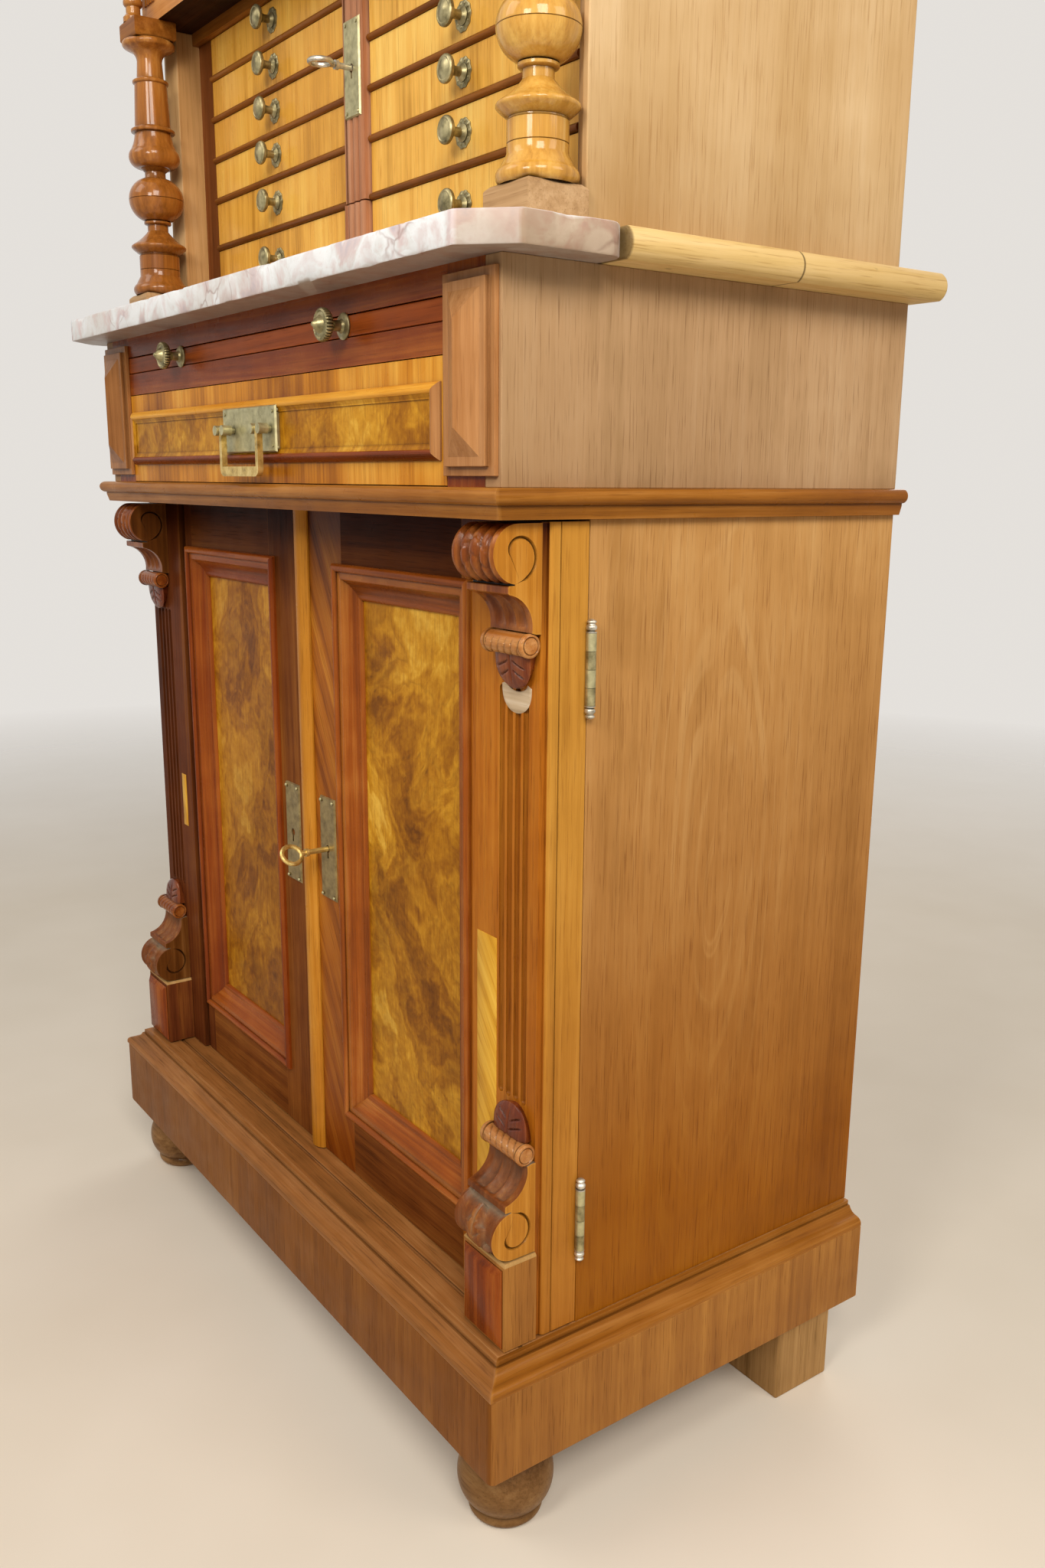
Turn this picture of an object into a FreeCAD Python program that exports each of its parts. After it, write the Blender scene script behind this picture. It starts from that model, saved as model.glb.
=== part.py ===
import FreeCAD, Part
import Sketcher
import os
import re

# Walnut dental cabinet. Millimetres, +Z up, front towards -Y, origin at the middle of the footprint on the floor.

doc = FreeCAD.newDocument("dental_cabinet")
sheet = doc.addObject("Spreadsheet::Sheet", "dims")

driving = {
    # carcass
    "case_width": 720,
    "case_depth": 384,
    "board": 18,
    "back_board": 8,
    "back_inset": 3,
    "floor_board": 18.5,
    "deck_board": 20,
    "cupboard_height": 608,
    "drawer_section_height": 140,
    "ledge_groove": 3,
    "ledge_groove_depth": 2,
    "shelf_level": 290,
    "shelf_board": 16,
    "shelf_front_gap": 30,
    "fit_gap": 0.5,
    # feet
    "foot_height": 70,
    "bun_radius": 38,
    "bun_neck_radius": 24,
    "bun_sole_radius": 25,
    "bun_inset": 46,
    "block_foot_size": 65,
    "block_foot_inset": 6,
    "block_foot_from_back": 28,
    # plinth
    "plinth_height": 72,
    "plinth_projection": 20,
    "plinth_board": 40,
    # waist moulding
    "waist_bead_radius": 5.5,
    "waist_projection": 13,
    "waist_fillet": 7,
    # cupboard doors
    "door_setback": 39.5,
    "door_thickness": 32.5,
    "door_gap": 1.6,
    "meeting_gap": 1,
    "hinge_gap": 0.8,
    "astragal_width": 22,
    "astragal_rise": 7,
    "inner_stile": 46,
    "outer_stile": 94,
    "top_rail": 43,
    "bottom_rail": 55,
    "moulding_lap": 12,
    "moulding_width": 30,
    "moulding_bead": 7,
    "panel_setback": 11,
    "panel_board": 9,
    "pilaster_rise": 5,
    "pilaster_step": 3,
    "pilaster_width": 82,
    "corner_bead": 4,
    "strip_line": 8.5,
    "flute_radius": 3.25,
    "flute_pitch": 9.5,
    "flute_from_side": 15.25,
    # corbels
    "corbel_width": 49,
    "corbel_side_inset": 2,
    "scroll_radius": 19.5,
    "scroll_reach": 19.6,
    "scroll_drop": 20,
    "reed_depth": 1.8,
    "ledge_drop": 40,
    "ledge_height": 6,
    "ledge_reach": 27,
    "cavetto_low": 72,
    "cavetto_reach": 25,
    "cavetto_foot": 7.5,
    "cavetto_rib": 4,
    "cavetto_flute_depth": 2.5,
    "roll_low": 89,
    "roll_reach": 17,
    "roll_inset": 3,
    "leaf_tip": 112,
    "leaf_reach": 9,
    "pedestal_width": 54,
    "pedestal_side_inset": 0.5,
    "pedestal_height": 60,
    "pedestal_reach": 29,
    "pedestal_field_rise": 4,
    "pedestal_field_margin": 6,
    "pedestal_field_bevel": 8,
    "cap_height": 12,
    "cap_lip": 2,
    # door hinges
    "hinge_barrel_radius": 3.6,
    "hinge_barrel_out": 3.9,
    "hinge_pin_radius": 1.8,
    "pin_clearance": 0.06,
    "hinge_length": 50,
    "hinge_leaf": 1.2,
    "hinge_leaf_width": 16,
    "hinge_finial": 8,
    "upper_hinge_level": 507.5,
    "lower_hinge_level": 90,
    "knuckle_gap": 0.3,
    # lock, key and plates
    "escutcheon_width": 28,
    "escutcheon_height": 95,
    "escutcheon_thickness": 1.5,
    "escutcheon_level": 308,
    "keyhole_radius": 3.4,
    "key_radius": 2.4,
    "key_reach": 30,
    "key_bow_radius": 9,
    "key_bow_wire": 1.9,
    "key_tail": 6,
    "lock_width": 34,
    "lock_height": 60,
    "lock_depth": 14,
    "lock_wall": 2,
    "bolt_height": 16,
    "bolt_length": 26,
    # drawer section front
    "post_width": 44.5,
    "drawer_opening": 85,
    "middle_rail": 20,
    "slide_opening": 16.5,
    "front_rail_depth": 20,
    "block_width": 60,
    "block_end_gap": 7,
    "block_step": 3.5,
    "block_step_margin": 6,
    "block_rise": 15.5,
    "block_hip": 18,
    "block_ridge": 1,
    "bearer_width": 62,
    # wide drawer and slide
    "drawer_gap": 0.8,
    "drawer_front_board": 20,
    "drawer_side_board": 12,
    "drawer_bottom_board": 6,
    "drawer_rear_gap": 53,
    "drawer_side_height": 66,
    "field_margin_side": 6,
    "field_margin_end": 17,
    "field_moulding": 11,
    "field_moulding_rise": 6,
    "field_rise": 2.5,
    "slide_rear_gap": 43,
    "slide_knob_spread": 316,
    "slide_knob_radius": 12,
    "slide_knob_reach": 27,
    "pull_plate_width": 104,
    "pull_plate_height": 37,
    "pull_plate_thickness": 1.6,
    "bail_width": 72,
    "bail_drop": 34,
    "bail_wire": 2.4,
    "post_reach": 11,
    "post_spread": 7,
    "pivot_radius": 1.4,
    "pull_post_radius": 4.2,
    # top
    "top_thickness": 20,
    "top_overhang_front": 36,
    "top_overhang_side": 30,
    "top_overhang_back": 8,
    "marble_depth": 111,
    "marble_chamfer": 30,
    "marble_round": 14,
    "top_joint_gap": 2,
    "wood_edge_round": 6,
    # niche of small drawers
    "upper_width": 698,
    "niche_setback": 73,
    "drawer_setback": 31,
    "niche_base_rail": 23,
    "niche_stile": 30,
    "niche_rail": 5.5,
    "niche_top_rail": 11,
    "niche_arris_depth": 6.5,
    "niche_arris_width": 13,
    "rail_nose": 3,
    "row_one": 50,
    "row_two": 39.5,
    "row_three": 33,
    "row_four": 32.5,
    "row_five": 32.5,
    "row_six": 33.5,
    "bar_width": 36,
    "bar_thickness": 12,
    "bar_proud": 7,
    "bar_gap": 1.2,
    "bar_pin_radius": 2,
    "bar_pin_length": 6,
    "bar_pin_clearance": 0.1,
    "bar_reed": 1.6,
    "bar_plate_width": 26,
    "bar_plate_height": 75,
    "bar_plate_thickness": 1.5,
    "bar_plate_level": 65,
    "partition_board": 10,
    "small_drawer_rear_gap": 19,
    "small_front_board": 12,
    "small_side_board": 7,
    "small_bottom_board": 4,
    "small_drawer_gap": 0.6,
    "small_knob_radius": 10,
    "small_knob_reach": 21,
    "small_knob_neck": 4,
    # turned columns
    "column_inset_side": 20.9,
    "column_inset_front": 49.6,
    "column_block": 48.5,
    "column_block_height": 27.5,
    "column_block_bevel": 2.5,
    "abacus_height": 17,
    "abacus_size": 42,
    "column_foot_radius": 27.2,
    "column_drum_radius": 20,
    "column_ball_radius": 27.2,
    "column_neck_radius": 10.2,
    "colonnette_radius": 8,
    "colonnette_ring": 10,
    "colonnette_out": 7.7,
    "colonnette_forward": 11,
    # upper case
    "case_setback": 3.4,
    "case_floor": 18,
    "case_inside": 440,
    "case_pilaster": 44,
    "case_pilaster_depth": 22,
    "case_pilaster_margin": 9,
    "case_shelf_level": 220,
    "cornice_height": 58,
    "cornice_projection": 36,
    "glazed_door_thickness": 20,
    "glazed_stile": 40,
    "pane_thickness": 3,
    "glazed_hinge_radius": 3,
    "glazed_hinge_length": 45,
}

for row, (alias, number) in enumerate(driving.items(), start=1):
    sheet.set("A%d" % row, alias)
    sheet.set("B%d" % row, str(number))
    sheet.setAlias("B%d" % row, alias)
doc.recompute()

# Levels and planes that follow from the driving sizes.
derived = {
    "half_width": "case_width / 2",
    "case_front": "(top_overhang_front - case_depth - top_overhang_back) / 2",
    "case_back": "case_front + case_depth",
    "inner_half": "half_width - board",
    "plinth_half": "half_width + plinth_projection",
    "plinth_front": "case_front - plinth_projection",
    "plinth_top": "foot_height + plinth_height",
    "floor_top": "plinth_top + floor_board",
    "deck_bottom": "floor_top + cupboard_height",
    "deck_top": "deck_bottom + deck_board",
    "section_top": "deck_top + drawer_section_height",
    "top_level": "section_top + top_thickness",
    "back_face": "case_back - back_inset",
    "back_front": "back_face - back_board",
    "door_front": "case_front + door_setback",
    "door_back": "door_front + door_thickness",
    "side_front": "door_back + hinge_gap",
    "door_bottom": "floor_top + door_gap",
    "door_top": "deck_bottom - door_gap",
    "pilaster_face": "door_front - pilaster_rise",
    "pilaster_side": "half_width - pilaster_step",
    "meeting_line": "astragal_width / 2",
    "right_edge": "meeting_line + meeting_gap",
    "opening_in": "right_edge + inner_stile + moulding_lap",
    "opening_out": "half_width - outer_stile - moulding_lap",
    "opening_low": "door_bottom + bottom_rail + moulding_lap",
    "opening_high": "door_top - top_rail - moulding_lap",
    "panel_front": "door_front + panel_setback",
    "hinge_x": "half_width + hinge_barrel_out",
    "hinge_y": "door_back + hinge_gap / 2",
    "plate_x": "right_edge + inner_stile / 2",
    "key_level": "floor_top + escutcheon_level",
    "post_out": "inner_half",
    "post_in": "half_width - board - post_width",
    "drawer_low": "deck_top",
    "drawer_high": "deck_top + drawer_opening",
    "slide_low": "drawer_high + middle_rail",
    "slide_high": "slide_low + slide_opening",
    "rail_back": "case_front + front_rail_depth",
    "top_half": "half_width + top_overhang_side",
    "marble_front": "case_front - top_overhang_front",
    "marble_back": "marble_front + marble_depth",
    "wood_front": "marble_back + top_joint_gap",
    "wood_back": "case_back + top_overhang_back",
    "upper_half": "upper_width / 2",
    "upper_inner": "upper_half - board",
    "niche_front": "case_front + niche_setback",
    "small_front": "niche_front + drawer_setback",
    "niche_floor": "top_level + niche_base_rail",
    "row_two_floor": "niche_floor + row_one + niche_rail",
    "row_three_floor": "row_two_floor + row_two + niche_rail",
    "row_four_floor": "row_three_floor + row_three + niche_rail",
    "row_five_floor": "row_four_floor + row_four + niche_rail",
    "row_six_floor": "row_five_floor + row_five + niche_rail",
    "rows_top": "row_six_floor + row_six",
    "niche_ceiling": "rows_top + niche_top_rail",
    "bay_in": "bar_width / 2 + bar_gap",
    "bay_out": "upper_inner - niche_stile",
    "bar_front": "small_front - bar_proud",
    "bar_back": "bar_front + bar_thickness",
    "bar_low": "row_two_floor - niche_rail + bar_gap",
    "bar_high": "rows_top - bar_gap",
    "bar_axis_x": "bar_thickness / 2 - bar_width / 2",
    "bar_axis_y": "bar_front + bar_thickness / 2",
    "bar_key_x": "(bar_width / 2 + bar_axis_x) / 2",
    "bar_key_level": "bar_low + bar_plate_level + bar_plate_height / 2",
    "column_x": "upper_half - column_inset_side",
    "column_y": "case_front + column_inset_front",
    "shaft_low": "top_level + column_block_height",
    "shaft_high": "niche_ceiling - abacus_height",
    "case_front_face": "column_y + case_setback",
    "crown_face": "column_y - abacus_size / 2",
    "case_floor_top": "niche_ceiling + case_floor",
    "case_ceiling": "case_floor_top + case_inside",
    "case_top": "case_ceiling + board",
    "glazed_axis_x": "glazed_out + fit_gap / 2",
    "glazed_axis_y": "case_front_face - glazed_hinge_radius - knuckle_gap",
    "glazed_out": "upper_half - case_pilaster - fit_gap",
    "glazed_low": "case_floor_top + door_gap",
    "glazed_high": "case_ceiling - door_gap",
}


def bind(text):
    """Spell an expression over the sheet's aliases, opening up the derived names."""
    def spell(match):
        word = match.group(0)
        if word in driving:
            return "dims." + word
        if word in derived:
            return "(" + bind(derived[word]) + ")"
        return word
    return re.sub(r"[a-z_]+", spell, text)


def size(text):
    """The present value of an expression, for pieces whose shape is set in code."""
    return float(sheet.evalExpression(bind(text)))


def place(piece, x="0", y="0", z="0"):
    for axis, text in (("x", x), ("y", y), ("z", z)):
        piece.setExpression("Placement.Base." + axis, bind(text))
    return piece


def board(name, x, y, z):
    """A square-edged board between two bounds on each axis."""
    box = doc.addObject("Part::Box", name)
    for prop, axis, (low, high) in (("Length", "x", x), ("Width", "y", y), ("Height", "z", z)):
        box.setExpression(prop, bind("(%s) - (%s)" % (high, low)))
        box.setExpression("Placement.Base." + axis, bind(low))
    return box


def flip(x):
    low, high = x
    return "-(%s)" % high, "-(%s)" % low


def board_pair(name, x, y, z):
    """The same board on the right and on the left."""
    return [board(name + "_right", x, y, z), board(name + "_left", flip(x), y, z)]


def rod(name, radius, length, start, direction):
    """A round rod from a point along a main direction."""
    cylinder = doc.addObject("Part::Cylinder", name)
    cylinder.setExpression("Radius", bind(radius))
    cylinder.setExpression("Height", bind(length))
    turn = FreeCAD.Rotation(FreeCAD.Vector(0, 0, 1), FreeCAD.Vector(*direction))
    cylinder.Placement = FreeCAD.Placement(FreeCAD.Vector(), turn)
    return place(cylinder, *start)


def ball(name, radius, centre):
    sphere = doc.addObject("Part::Sphere", name)
    sphere.setExpression("Radius", bind(radius))
    return place(sphere, *centre)


def join(name, pieces):
    fusion = doc.addObject("Part::MultiFuse", name)
    fusion.Shapes = pieces
    fusion.Refine = True
    return fusion


def cut(name, base, tools):
    cutting = doc.addObject("Part::Cut", name)
    cutting.Base = base
    cutting.Tool = tools[0] if len(tools) == 1 else join(name + "_tools", tools)
    cutting.Refine = True
    return cutting


def mirrored(name, piece):
    """The left-hand twin of a right-hand piece."""
    twin = doc.addObject("Part::Mirroring", name)
    twin.Source = piece
    twin.Normal = FreeCAD.Vector(1, 0, 0)
    return twin


def origin_plane(body, role):
    return next(plane for plane in body.Origin.OriginFeatures if plane.Role == role)


def outline(body, role, name, steps, offset="0", closed=True):
    """A sketch through bound points: a step of two texts is a line's end, of four an arc's middle and end."""
    sketch = body.newObject("Sketcher::SketchObject", name)
    sketch.AttachmentSupport = [(origin_plane(body, role), "")]
    sketch.MapMode = "FlatFace"
    sketch.setExpression("AttachmentOffset.Base.z", bind(offset))
    spots = [tuple(size(text) for text in step) for step in steps]
    count = len(steps) if closed else len(steps) - 1
    ends = []
    middles = []
    for index in range(count):
        following = (index + 1) % len(steps)
        first = FreeCAD.Vector(spots[index][-2], spots[index][-1], 0)
        last = FreeCAD.Vector(spots[following][-2], spots[following][-1], 0)
        if len(spots[following]) == 2:
            geometry = sketch.addGeometry(Part.LineSegment(first, last))
            ends.append((geometry, 1, 2))
        else:
            middle = FreeCAD.Vector(spots[following][0], spots[following][1], 0)
            geometry = sketch.addGeometry(Part.Arc(first, middle, last))
            turns_left = (middle - first).cross(last - middle).z > 0
            ends.append((geometry, 1, 2) if turns_left else (geometry, 2, 1))
            middles.append((geometry, middle, steps[following]))
    joints = count if closed else count - 1
    for index in range(joints):
        geometry, start, end = ends[index]
        next_geometry, next_start, next_end = ends[(index + 1) % count]
        sketch.addConstraint(Sketcher.Constraint("Coincident", geometry, end, next_geometry, next_start))

    def pin(geometry, point, texts):
        for kind, text in zip(("DistanceX", "DistanceY"), texts):
            number = sketch.addConstraint(Sketcher.Constraint(kind, geometry, point, size(text)))
            sketch.setExpression("Constraints[%d]" % number, bind(text))

    for index in range(count):
        geometry, start, end = ends[index]
        pin(geometry, start, steps[index][-2:])
    if not closed:
        geometry, start, end = ends[-1]
        pin(geometry, end, steps[-1][-2:])
    for geometry, middle, step in middles:
        point = sketch.addGeometry(Part.Point(middle), True)
        sketch.addConstraint(Sketcher.Constraint("PointOnObject", point, 1, geometry))
        pin(point, 1, step[:2])
    return sketch


def slab(name, role, steps, start, length):
    """A profile padded along the normal of its plane."""
    body = doc.addObject("PartDesign::Body", name)
    sketch = outline(body, role, name + "_profile", steps, start)
    pad = body.newObject("PartDesign::Pad", name + "_pad")
    pad.Profile = sketch
    pad.setExpression("Length", bind(length))
    return body


def turned(name, steps, turn=None):
    """A profile of radius and height turned about its own vertical axis."""
    body = doc.addObject("PartDesign::Body", name)
    sketch = outline(body, "XZ_Plane", name + "_profile", steps)
    revolution = body.newObject("PartDesign::Revolution", name + "_turning")
    revolution.Profile = sketch
    revolution.ReferenceAxis = (sketch, ["V_Axis"])
    revolution.Angle = 360
    if turn is not None:
        body.Placement = FreeCAD.Placement(FreeCAD.Vector(), turn)
    return body


def run_moulding(name, profile_role, profile, offset, path_role, path, path_level, ring=False):
    """A moulding profile run along a path with mitred corners, or right round it."""
    body = doc.addObject("PartDesign::Body", name)
    section = outline(body, profile_role, name + "_section", profile, offset)
    run = outline(body, path_role, name + "_run", path, path_level, closed=ring)
    doc.recompute()
    pipe = body.newObject("PartDesign::AdditivePipe", name + "_pipe")
    pipe.Profile = section
    edges = len(path) if ring else len(path) - 1
    pipe.Spine = (run, ["Edge%d" % (edge + 1) for edge in range(edges)])
    pipe.Transition = "Right corner"
    return body


def mitred(name, run, half, front, reach, level, height):
    """A moulding parted at its mitres into a front strip and two side strips."""
    corner = (half, front)
    tip = ("%s + %s" % (half, reach), "%s - %s" % (front, reach))
    left_corner = ("-" + half, front)
    left_tip = ("-%s - %s" % (half, reach), tip[1])
    plans = {
        "front": [left_tip, tip, corner, left_corner],
        "right": [corner, tip, (tip[0], "case_back"), (half, "case_back")],
        "left": [left_tip, left_corner, (left_corner[0], "case_back"), (left_tip[0], "case_back")],
    }
    strips = []
    for word, plan in plans.items():
        room = slab("%s_%s_room" % (name, word), "XY_Plane", plan, level, height)
        strip = doc.addObject("Part::MultiCommon", "%s_%s" % (name, word))
        strip.Shapes = [run, room]
        strips.append(strip)
    return strips


nodes = []


def node(label, pieces):
    """Register a named sub-part made of one piece or of several separate ones."""
    piece = pieces[0]
    if len(pieces) > 1:
        piece = doc.addObject("Part::Compound", label)
        piece.Links = pieces
    piece.Label = label
    nodes.append(piece)
    return piece


to_front = FreeCAD.Rotation(FreeCAD.Vector(1, 0, 0), 90)


# Feet.
def bun_foot(side):
    steps = [("0", "0"), ("bun_sole_radius", "0"), ("bun_sole_radius + 3", "3"),
             ("bun_sole_radius + 4.5", "7", "bun_sole_radius + 3", "11"),
             ("bun_sole_radius + 5", "13"),
             ("bun_radius", "foot_height * 0.45", "bun_neck_radius + 4", "foot_height - 12"),
             ("bun_neck_radius", "foot_height - 9"), ("bun_neck_radius", "foot_height"), ("0", "foot_height")]
    body = turned("bun_foot_" + ("right" if side > 0 else "left"), steps)
    return place(body, "%d * (plinth_half - bun_inset)" % side, "plinth_front + bun_inset", "0")


node("front_bun_feet", [bun_foot(1), bun_foot(-1)])
foot_x = ("plinth_half - block_foot_inset - block_foot_size", "plinth_half - block_foot_inset")
foot_y = ("case_back - block_foot_from_back - block_foot_size", "case_back - block_foot_from_back")
node("rear_block_feet", board_pair("block_foot", foot_x, foot_y, ("0", "foot_height")))


# Plinth: a box frame of four boards with a moulding round the front and the sides.
def plinth():
    level = ("foot_height", "plinth_top")
    front = board("plinth_front_board", ("-plinth_half", "plinth_half"),
                  ("plinth_front", "plinth_front + plinth_board"), level)
    back = board("plinth_back_board", ("plinth_board - plinth_half", "plinth_half - plinth_board"),
                 ("case_back - plinth_board", "case_back"), level)
    sides = board_pair("plinth_side_board", ("plinth_half - plinth_board", "plinth_half"),
                       ("plinth_front + plinth_board", "case_back"), level)
    return [front, back] + sides


node("plinth_frame", plinth())


def plinth_run(name, profile):
    """A moulding round the front and both sides of the base, ending flush at the back."""
    path = [("-half_width", "case_back"), ("-half_width", "case_front"),
            ("half_width", "case_front"), ("half_width", "case_back")]
    return run_moulding(name, "XZ_Plane", profile, "-case_back", "XY_Plane", path, "plinth_top")


def out_of_side(out, level):
    """A moulding point measured outwards from the carcass side."""
    return "-half_width - (%s)" % out, level


def arc_out(out_middle, level_middle, out, level):
    return out_of_side(out_middle, level_middle) + out_of_side(out, level)


plinth_strip = plinth_run("plinth_moulding_run", [
    out_of_side("0", "plinth_top"),
    out_of_side("plinth_projection", "plinth_top"),
    out_of_side("plinth_projection", "plinth_top + 2"),
    arc_out("plinth_projection - 1", "plinth_top + 5", "plinth_projection - 4", "plinth_top + 7"),
    out_of_side("plinth_projection - 6", "plinth_top + 7.5"),
    arc_out("plinth_projection / 2 - 1", "plinth_top + 9.5", "plinth_projection * 0.3", "floor_top - 4.5"),
    out_of_side("plinth_projection * 0.2", "floor_top - 4.5"),
    out_of_side("plinth_projection * 0.2", "floor_top - 0.5"),
    out_of_side("0", "floor_top - 0.5"),
])
node("plinth_moulding", mitred("plinth_strip", plinth_strip, "half_width", "case_front",
                               "plinth_projection", "plinth_top", "floor_board"))


# Base carcass.
def base_floor():
    plank = board("floor_plank", ("-half_width", "half_width"), ("case_front", "case_back"), ("plinth_top", "floor_top"))
    groove = board("floor_groove", ("-half_width", "half_width"),
                   ("case_front + door_setback / 2", "case_front + door_setback / 2 + ledge_groove"),
                   ("floor_top - ledge_groove_depth", "floor_top"))
    return cut("floor_grooved", plank, [groove])


node("base_floor", [base_floor()])


def hinge_levels():
    return [("upper", "floor_top + upper_hinge_level"), ("lower", "floor_top + lower_hinge_level")]


def leaf_bounds(side, low_y, high_y, level):
    """The room of one hinge leaf in the joint between door and side."""
    x = ("half_width - hinge_leaf_width", "half_width")
    z = ("(%s) - hinge_length / 2" % level, "(%s) + hinge_length / 2" % level)
    return (x if side > 0 else flip(x)), (low_y, high_y), z


def base_sides():
    boards = []
    for side, word in ((1, "right"), (-1, "left")):
        x = ("inner_half", "half_width") if side > 0 else flip(("inner_half", "half_width"))
        lower = board("lower_side_plain_" + word, x, ("side_front", "case_back"), ("floor_top", "deck_bottom"))
        rooms = []
        for name, level in hinge_levels():
            room = leaf_bounds(side, "side_front", "side_front + hinge_leaf", level)
            rooms.append(board("side_mortise_%s_%s" % (name, word), *room))
        boards.append(cut("lower_side_" + word, lower, rooms))
        boards.append(board("section_side_" + word, x, ("case_front", "case_back"), ("deck_top", "section_top")))
    return boards


node("base_sides", base_sides())

node("back_panels", [
    board("lower_back", ("-inner_half", "inner_half"), ("back_front", "back_face"), ("floor_top", "deck_bottom")),
    board("section_back", ("-inner_half", "inner_half"), ("back_front", "back_face"), ("deck_top", "section_top")),
    board("niche_back", ("-upper_inner", "upper_inner"), ("back_front", "back_face"), ("top_level", "niche_ceiling")),
    board("case_back_board", ("-upper_inner", "upper_inner"), ("back_front", "back_face"),
          ("case_floor_top", "case_ceiling")),
])

node("cupboard_shelf", [
    board("shelf_plank", ("fit_gap - inner_half", "inner_half - fit_gap"),
          ("side_front + shelf_front_gap", "back_front - fit_gap"),
          ("floor_top + shelf_level", "floor_top + shelf_level + shelf_board")),
] + board_pair("shelf_bearer", ("inner_half - board", "inner_half"),
               ("side_front + shelf_front_gap", "back_front"),
               ("floor_top + shelf_level - board", "floor_top + shelf_level")))

guide_x = ("post_in", "post_in + board")
bearer_x = ("inner_half - bearer_width", "inner_half")
node("drawer_deck", [
    board("deck_plank", ("-half_width", "half_width"), ("case_front", "case_back"), ("deck_bottom", "deck_top")),
] + board_pair("drawer_guide", guide_x, ("rail_back", "back_front"), ("deck_top", "drawer_high")) +
    board_pair("slide_bearer", bearer_x, ("rail_back", "back_front"), ("drawer_high", "slide_low")))


def waist_point(out, level):
    return "-half_width - (%s)" % out, level


waist_strip = run_moulding("waist_run", "XZ_Plane", [
    waist_point("0", "deck_bottom"),
    waist_point("waist_projection - waist_bead_radius - 2", "deck_bottom"),
    waist_point("waist_projection - waist_bead_radius", "deck_bottom + waist_fillet"),
    waist_point("waist_projection - waist_bead_radius", "deck_top - 2 * waist_bead_radius"),
    waist_point("waist_projection", "deck_top - waist_bead_radius") +
    waist_point("waist_projection - waist_bead_radius", "deck_top"),
    waist_point("0", "deck_top"),
], "-case_back", "XY_Plane", [
    ("-half_width", "case_back"), ("-half_width", "case_front"),
    ("half_width", "case_front"), ("half_width", "case_back"),
], "deck_bottom")
node("waist_moulding", mitred("waist_strip", waist_strip, "half_width", "case_front",
                              "waist_projection", "deck_bottom", "deck_board"))

section_level = ("deck_top", "section_top")
node("front_frame", board_pair("section_post", ("post_in", "post_out"), ("case_front", "rail_back"), section_level) + [
    board("middle_rail", ("-post_in", "post_in"), ("case_front", "rail_back"), ("drawer_high", "slide_low")),
    board("frieze_rail", ("-post_in", "post_in"), ("case_front", "rail_back"), ("slide_high", "section_top")),
])


def corner_block(side):
    """A long block on the post: two low steps and a hipped ridge."""
    word = "right" if side > 0 else "left"
    x = ("post_in", "post_in + block_width")
    x = x if side > 0 else flip(x)
    z = ("deck_top + block_end_gap", "section_top - block_end_gap")
    parts = []
    for index in range(2):
        inset = "%d * block_step_margin" % index
        parts.append(board("block_step_%d_%s" % (index, word),
                           ("%s + %s" % (x[0], inset), "%s - %s" % (x[1], inset)),
                           ("case_front - %d * block_step" % (index + 1), "case_front - %d * block_step" % index),
                           ("%s + %s" % (z[0], inset), "%s - %s" % (z[1], inset))))
    ridge = doc.addObject("Part::Wedge", "block_ridge_" + word)
    middle = "(%s + %s) / 2" % x
    margin = "2 * block_step_margin"
    bounds = {
        "Xmin": middle + " - block_ridge / 2", "Xmax": middle + " + block_ridge / 2",
        "Ymin": "case_front - block_rise", "Ymax": "case_front - 2 * block_step",
        "Zmin": "%s + %s + block_hip" % (z[0], margin), "Zmax": "%s - %s - block_hip" % (z[1], margin),
        "X2min": "%s + %s" % (x[0], margin), "X2max": "%s - %s" % (x[1], margin),
        "Z2min": "%s + %s" % (z[0], margin), "Z2max": "%s - %s" % (z[1], margin),
    }
    for prop, text in bounds.items():
        ridge.setExpression(prop, bind(text))
    return join("corner_block_" + word, parts + [ridge])


node("corner_blocks", [corner_block(1), corner_block(-1)])


# Top: marble working slab in front, wooden board behind it.
def marble():
    steps = [
        ("marble_chamfer - top_half", "marble_front"), ("top_half - marble_chamfer", "marble_front"),
        ("top_half", "marble_front + marble_chamfer"), ("top_half", "marble_back - marble_round"),
        ("top_half - marble_round * 0.293", "marble_back - marble_round * 0.293",
         "top_half - marble_round", "marble_back"),
        ("marble_round - top_half", "marble_back"),
        ("marble_round * 0.293 - top_half", "marble_back - marble_round * 0.293",
         "-top_half", "marble_back - marble_round"),
        ("-top_half", "marble_front + marble_chamfer"),
    ]
    return slab("marble_plate", "XY_Plane", steps, "section_top", "top_thickness")


node("marble_slab", [marble()])


def wooden_top():
    """The rear top board, its long edge rounded on both ends."""
    steps = [("-top_half", "section_top + top_thickness / 2", "wood_edge_round - top_half", "section_top"),
             ("top_half - wood_edge_round", "section_top"),
             ("top_half", "section_top + top_thickness / 2", "top_half - wood_edge_round", "top_level"),
             ("wood_edge_round - top_half", "top_level")]
    return slab("wooden_top_plank", "XZ_Plane", steps, "-wood_back", "wood_back - wood_front")


node("wooden_top", [wooden_top()])


# Cupboard doors. Right-hand pieces are drawn, left-hand ones are their mirror images where nothing differs.
def sided(side, bounds):
    return bounds if side > 0 else flip(bounds)


door_depth = ("door_front", "door_back")
door_height = ("door_bottom", "door_top")


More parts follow.
